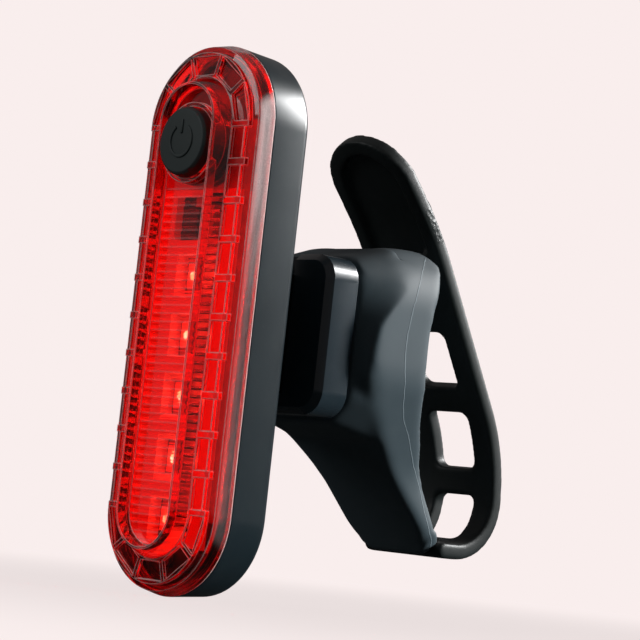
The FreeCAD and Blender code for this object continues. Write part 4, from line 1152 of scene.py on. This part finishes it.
@dataclass
class PushButton:
    """Rubber cap with a rounded edge, skirt, flange and stem, and a raised power sign on its face."""

    z: float = 23.2
    radius: float = 4.65
    front_y: float = -37.74
    flange_y: float = -34.1
    round: float = 0.35
    flange: float = 0.9
    flange_depth: float = 0.5
    skirt: float = 0.75
    hollow_depth: float = 1.6
    stem_radius: float = 1.2
    stem_end_y: float = -34.3
    sign_radius: float = 2.15
    sign_width: float = 0.42
    sign_height: float = 0.16
    sign_gap: float = 34.0
    sign_round: float = 0.12
    bar_up: float = 0.85
    bar_down: float = 1.1

    def profile(self) -> Outline:
        """The cap's half section.

        Returns:
            The outline as (radius, y).
        """
        rim, inner = self.radius + self.flange, self.radius - self.skirt
        back, hollow = self.flange_y + self.flange_depth, self.front_y + self.hollow_depth
        return rounded([
            (0, self.front_y, 0),
            (self.radius - self.round, self.front_y + 0.02, 0.3),
            (self.radius, self.front_y + 0.4, self.round),
            (self.radius, self.flange_y, 0),
            (rim, self.flange_y, 0.12),
            (rim, back, 0.12),
            (inner, back, 0.1),
            (inner, hollow, 0.3),
            (self.stem_radius, hollow, 0.3),
            (self.stem_radius, self.stem_end_y, 0.15),
            (0, self.stem_end_y, 0),
        ], 5)

    def build(self) -> None:
        """Builds the cap and its sign in place of the CAD node."""
        cap = add_piece("button_cap", turned(self.profile(), 0, self.z, 72), Look.BUTTON)
        seat(cap, "button")
        sign = add_piece("power_sign", self.sign(), Look.BUTTON, 50.0)
        seat(sign, "button", False)

    def sign(self) -> Shape:
        """A ring with a gap at its top and an upright bar in the gap.

        Returns:
            The sign's shape.
        """
        shape = bmesh.new()
        half, soft = self.sign_width / 2, self.sign_round
        low, high = self.front_y + 0.05, self.front_y - self.sign_height
        section = rounded([(-half, low, 0), (-half, high, soft), (half, high, soft), (half, low, 0)], 3)
        start = math.radians(90 - self.sign_gap)
        rim = []
        for u, v in section:
            radius = self.sign_radius + u
            place = Vector((radius * math.cos(start), v, self.z + radius * math.sin(start)))
            rim.append(shape.verts.new(place * MM))
        chain = [shape.edges.new((rim[i], rim[(i + 1) % len(rim)])) for i in range(len(rim))]
        spun = bmesh.ops.spin(shape, geom=rim + chain, cent=(0, 0, self.z * MM), axis=(0, 1, 0),
                              angle=math.radians(360 - 2 * self.sign_gap), steps=48)
        for ends in (chain, [e for e in spun["geom_last"] if isinstance(e, bmesh.types.BMEdge)]):
            bmesh.ops.edgenet_fill(shape, edges=ends)
        middle = self.z + self.sign_radius * 0.95
        block(shape, (-half, high, middle - self.bar_down), (half, low, middle + self.bar_up), soft)
        bmesh.ops.recalc_face_normals(shape, faces=shape.faces)
        return shape


@dataclass
class LampTray:
    """White tray round the lamps, given a faint painted glow, with its ladders of narrow slots, and a glowing
    dome on each lamp.
    """

    pitch: float = 1.12
    bar: float = 0.4
    front_y: float = -32.9
    back_y: float = -31.6
    ladders: tuple[tuple[float, float, float, float], ...] = (
        (-6.65, -5.35, -30.0, 16.9), (2.2, 5.2, 10.2, 16.6))
    lamp_count: int = 5
    lamp_height: float = 3.5
    lamp_front_y: float = -32.35
    dome_radius: float = 0.62
    dome_height: float = 0.5

    def build(self) -> None:
        """Builds the tray in place of the CAD node, and the domes."""
        shape = cad_copy("reflector")
        for left, right, low, high in self.ladders:
            count = int((high - low) / self.pitch)
            for i in range(count + 1):
                z = low + i * self.pitch
                block(shape, (left - 0.02, self.front_y + 0.01, z - self.bar / 2),
                      (right + 0.02, self.back_y - 0.1, z + self.bar / 2))
        # The tray's finish gives off a small painted glow, though the tray is no lamp.
        seat(add_piece("lamp_tray", shape, Look.TRAY), "reflector")
        low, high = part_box("lamps")
        bottom = low[2] / MM + self.lamp_height / 2
        top = high[2] / MM - self.lamp_height / 2
        for i in range(self.lamp_count):
            self.add_dome(i, bottom + (top - bottom) * i / (self.lamp_count - 1))

    def add_dome(self, number: int, z: float) -> None:
        """Adds one lamp's dome.

        Args:
            number: Which lamp it is, from the lowest.
            z: The lamp's height.
        """
        steps = 6
        turns = [math.pi / 2 * i / steps for i in range(steps + 1)]
        profile = [(self.dome_radius * math.sin(turn), self.lamp_front_y - self.dome_height * math.cos(turn))
                   for turn in turns]
        shape = turned(profile + [(0, self.lamp_front_y)], 0, z, 24)
        seat(add_piece("lamp_dome_%d" % (number + 1), shape, Look.GLOW), "lamps", False)


@dataclass
class Socket:
    """Square socket with a bevelled face and eased edges."""

    edge: float = 0.22

    def build(self) -> None:
        """Eases the outer edges of the socket in place of the CAD node."""
        shape = cad_copy("clip_socket")
        sharp = [e for e in shape.edges if e.calc_face_angle(0.0) > math.radians(30)
                 and e.calc_length() > 2 * self.edge * MM]
        bmesh.ops.bevel(shape, geom=sharp, offset=self.edge * MM, segments=3, profile=0.5, affect="EDGES",
                        clamp_overlap=True, material=-1)
        bmesh.ops.recalc_face_normals(shape, faces=shape.faces)
        seat(add_piece("socket_body", shape, Look.SOCKET, 25.0), "clip_socket")


@dataclass
class SaddleBody:
    """Silicone saddle whose flanks run smoothly from the pad to a crescent-shaped band on each side."""

    voxel: float = 0.34
    rounds: int = 4
    soft_rounds: int = 26
    tip_half: float = 7.75
    tip_low: float = -28.5
    tip_corner: float = 4.5
    pad_y: float = -12.3
    pad_half: float = 10.4
    pad_top: float = 11.3
    pad_corner: float = 4.0
    flank: float = 3.2
    half_width: float = 13.6
    crest_lift: float = 0.5
    pocket_radius: float = 7.5
    plate_half: float = 8.0
    plate_y: float = -11.9
    hinge: tuple[float, float] = (13.3, -27.4)
    hinge_reach: float = 2.7
    hook_half: float = 3.6
    band_edge: tuple[tuple[float, float], ...] = (
        (-12.0, -5.6), (-8.5, -8.8), (-5.3, -10.7), (-1.9, -11.0), (2.2, -10.2), (5.8, -7.2), (9.4, -3.9),
        (12.4, -1.6), (14.5, 0.0))

    def build(self) -> None:
        """Builds the saddle's skin in place of the CAD node."""
        skin = cad_skin("saddle", self.voxel, self.rounds)
        skin.normal_update()
        for vert in skin.verts:
            self.draw_flank(vert)
        soften(skin, self.soft_rounds, self.is_outer)
        seat(add_piece("saddle_body", skin, Look.SADDLE, 180.0), "saddle")

    def edge_y(self, z: float) -> float:
        """Where the side band begins at a height.

        Args:
            z: The height.

        Returns:
            The band's y.
        """
        for (low, start), (high, end) in zip(self.band_edge, self.band_edge[1:]):
            if z <= high:
                return start + (end - start) * max(0.0, (z - low) / (high - low))
        return self.band_edge[-1][1]

    def beyond_pad(self, x: float, z: float) -> float:
        """How far a point lies outside the pad's rounded outline, seen from the front.

        Args:
            x: How far the point is from the middle, to either side.
            z: Its height.

        Returns:
            The distance, below 0 on the pad.
        """
        across = x - self.pad_half + self.pad_corner
        above = z - self.pad_top + self.pad_corner
        if across > 0 and above > 0:
            return math.hypot(across, above) - self.pad_corner
        return max(across, above) - self.pad_corner

    def draw_flank(self, vert: bmesh.types.BMVert) -> None:
        """Moves one point of the front or of a side band onto the drawn form.

        Args:
            vert: The point.
        """
        x, y, z = abs(vert.co.x) / MM, vert.co.y / MM, vert.co.z / MM
        beside_hook = ease(x, self.hook_half, self.hook_half + 1.0)
        clear_of_hook = max(beside_hook, ease(-y, -0.5, 0.5)) * ease(-y, -3.5, -2.5)
        vert.co.z += self.crest_lift * ease(z, 12.0, 14.0) * clear_of_hook * MM
        drop = self.tip_low + self.tip_corner - z
        if drop > 0.0:
            inset = self.tip_corner - math.sqrt(max(0.0, self.tip_corner ** 2 - drop ** 2))
            vert.co.x *= 1.0 - inset / self.tip_half
        beyond = self.beyond_pad(x, z)
        if beyond < 0.0 or y > 1.0 or z > 13.95:
            return
        edge = self.edge_y(z)
        if x > self.half_width - 0.5 and abs(vert.normal.x) > 0.8:
            target = max(y, edge)
        elif vert.normal.y < -0.05:
            target = self.pad_y + (edge - self.pad_y) * min(1.0, beyond / self.flank)
        else:
            return
        vert.co.y += ease(z, -9.0, -4.0) * (target - y) * MM

    def is_outer(self, place: Vector) -> float:
        """How much a point may be smoothed: not at the washer's pocket, the plate, the hinge or the hook.

        Args:
            place: The point in millimetres.

        Returns:
            Its share, 0 to 1.
        """
        pocket = max(ease(math.hypot(place.x, place.z), self.pocket_radius, self.pocket_radius + 1.5),
                     ease(place.y, -9.0, -8.0))
        plate = max(ease(max(abs(place.x), abs(place.z)), self.plate_half, self.plate_half + 1.0),
                    ease(place.y, -8.6, -7.8), ease(-place.y, -self.plate_y, 0.3 - self.plate_y))
        away = math.hypot(place.y - self.hinge[0], place.z - self.hinge[1])
        hinge = ease(away, self.hinge_reach, self.hinge_reach + 1.2)
        hook = max(ease(abs(place.x), self.hook_half, self.hook_half + 1.0), ease(-place.z, -12.0, -11.0),
                   ease(-place.y, -0.5, 0.5))
        return min(pocket, plate, hinge, hook)


@dataclass
class LadderStrap:
    """Silicone ladder strap with eased windows and edges."""

    voxel: float = 0.28
    rounds: int = 7
    window_half: float = 3.85
    last_end: tuple[float, float] = (6.5, 15.3)
    lean: float = 36.0
    bridge: float = 1.0
    bridge_reach: float = 2.5

    def build(self) -> None:
        """Builds the strap's skin in place of the CAD node."""
        skin = cad_skin("strap", self.voxel, self.rounds)
        along = Vector((0.0, -math.sin(math.radians(self.lean)), math.cos(math.radians(self.lean))))
        end = Vector((0.0, *self.last_end))
        for vert in skin.verts:
            place = vert.co / MM
            past = (place - end).dot(along)
            within = abs(place.x) < self.window_half and (place - end).length < 6.0
            if within and -0.6 < past < self.bridge_reach:
                vert.co -= along * self.bridge * (1.0 - ease(past, 0.3, self.bridge_reach)) * MM
        seat(add_piece("strap_band", skin, Look.STRAP, 180.0), "strap")


# Studio

@dataclass
class Studio:
    """Camera, lamps, floor and surroundings."""

    camera_place: Point = (253.704, -249.564, -24.613)
    camera_right: Point = (0.69047485, 0.71529884, 0.10766643)
    camera_up: Point = (-0.01776252, -0.13203175, 0.99108633)
    focal_length: float = 140.6
    floor_z: float = -37.25
    floor_radius: float = 2.0
    backdrop: Colour = srgb(249, 238, 237)

    def build(self) -> None:
        """Sets up the whole studio."""
        self.set_camera()
        self.set_world()
        self.lay_floor()
        self.hang_lamps()
        bpy.context.scene.view_settings.view_transform = "Standard"

    def set_camera(self) -> None:
        """Places the camera that looks as the photograph does."""
        data = bpy.data.cameras.new("camera")
        data.lens = self.focal_length
        data.sensor_width = 36.0
        data.clip_start = 0.01
        camera = bpy.data.objects.new("camera", data)
        right, up = Vector(self.camera_right), Vector(self.camera_up)
        turn = Matrix((right, up, right.cross(up))).transposed().to_4x4()
        camera.matrix_world = Matrix.Translation(Vector(self.camera_place) * MM) @ turn
        bpy.context.scene.collection.objects.link(camera)
        bpy.context.scene.camera = camera

    def set_world(self) -> None:
        """A pale surround for sight and reflections, and a soft fill light."""
        world = bpy.data.worlds.new("surround")
        world.use_nodes = True
        world.node_tree.nodes.clear()
        tree = Tree(world.node_tree)
        path = tree.node("LightPath").outputs
        seen = tree.math("MAXIMUM", path["Is Camera Ray"], path["Is Transmission Ray"])
        fill = tree.node("Background", {"Color": (0.85, 0.95, 1.0, 1.0), "Strength": 0.08})
        shine = tree.node("Background", {"Color": self.backdrop, "Strength": 0.18})
        pale = tree.node("Background", {"Color": self.backdrop, "Strength": 1.0})
        both = tree.node("MixShader", {0: path["Is Glossy Ray"], 1: fill.outputs[0], 2: shine.outputs[0]})
        last = tree.node("MixShader", {0: seen, 1: both.outputs[0], 2: pale.outputs[0]})
        tree.node("OutputWorld", {"Surface": last.outputs[0]})
        bpy.context.scene.world = world

    def lay_floor(self) -> None:
        """A wide pale floor that fades into the surround and keeps a soft shadow."""
        shape = bmesh.new()
        bmesh.ops.create_circle(shape, cap_ends=True, segments=96, radius=self.floor_radius,
                                matrix=Matrix.Translation((0, 0, self.floor_z * MM)))
        floor = add_piece("floor", shape)
        made = bpy.data.materials.new("pale_floor")
        made.use_nodes = True
        made.node_tree.nodes.clear()
        tree = Tree(made.node_tree)
        path = tree.node("LightPath").outputs
        bright = tree.node("Emission", {"Color": self.backdrop, "Strength": 1.0})
        matt = tree.node("BsdfDiffuse", {"Color": (0.33, 0.31, 0.31, 1.0)})
        dim = tree.node("BsdfDiffuse", {"Color": (0.07, 0.07, 0.07, 1.0)})
        away = tree.node("VectorMath", {0: tree.place()}, operation="LENGTH").outputs["Value"]
        near = tree.step(away, 0.04, 0.16, 0.16, 0.0)
        seen = tree.node("MixShader", {0: near, 1: bright.outputs[0], 2: matt.outputs[0]})
        mix = tree.node("MixShader", {0: path["Is Camera Ray"], 1: dim.outputs[0], 2: seen.outputs[0]})
        tree.node("OutputMaterial", {"Surface": mix.outputs[0]})
        floor.data.materials.append(made)

    def hang_lamps(self) -> None:
        """Soft boxes: one behind that only gloss shows, a low one beside that it doesn't, and a weak fill."""
        self.lamp("back_gloss", (0.20, 0.52, 0.31), 0.26, 0.26, 11.0).visible_diffuse = False
        self.lamp("low_side", (0.42, 0.50, 0.05), 0.24, 0.24, 8.0).visible_glossy = False
        self.lamp("front_fill", (-0.25, -0.60, 0.30), 0.40, 0.30, 1.1)

    def lamp(self, name: str, place: Point, width: float, height: float, power: float) -> bpy.types.Object:
        """Adds one soft box that faces the light.

        Args:
            name: The lamp's name.
            place: Where it hangs, in metres.
            width: Its width in metres.
            height: Its height in metres.
            power: Its power in watts.

        Returns:
            The lamp.
        """
        data = bpy.data.lights.new(name, "AREA")
        data.shape = "RECTANGLE"
        data.size = width
        data.size_y = height
        data.energy = power
        lamp = bpy.data.objects.new(name, data)
        lamp.location = place
        lamp.rotation_euler = (-Vector(place)).to_track_quat("-Z", "Y").to_euler()
        bpy.context.scene.collection.objects.link(lamp)
        return lamp


def main() -> None:
    """Builds the tail light and its studio."""
    logging.basicConfig(level=logging.INFO)
    dress_cad_nodes()
    for assembly in (HousingShell(), PushButton(), LampTray(), Socket(), SaddleBody(), LadderStrap()):
        assembly.build()
    Studio().build()


if __name__ == "__main__":
    main()
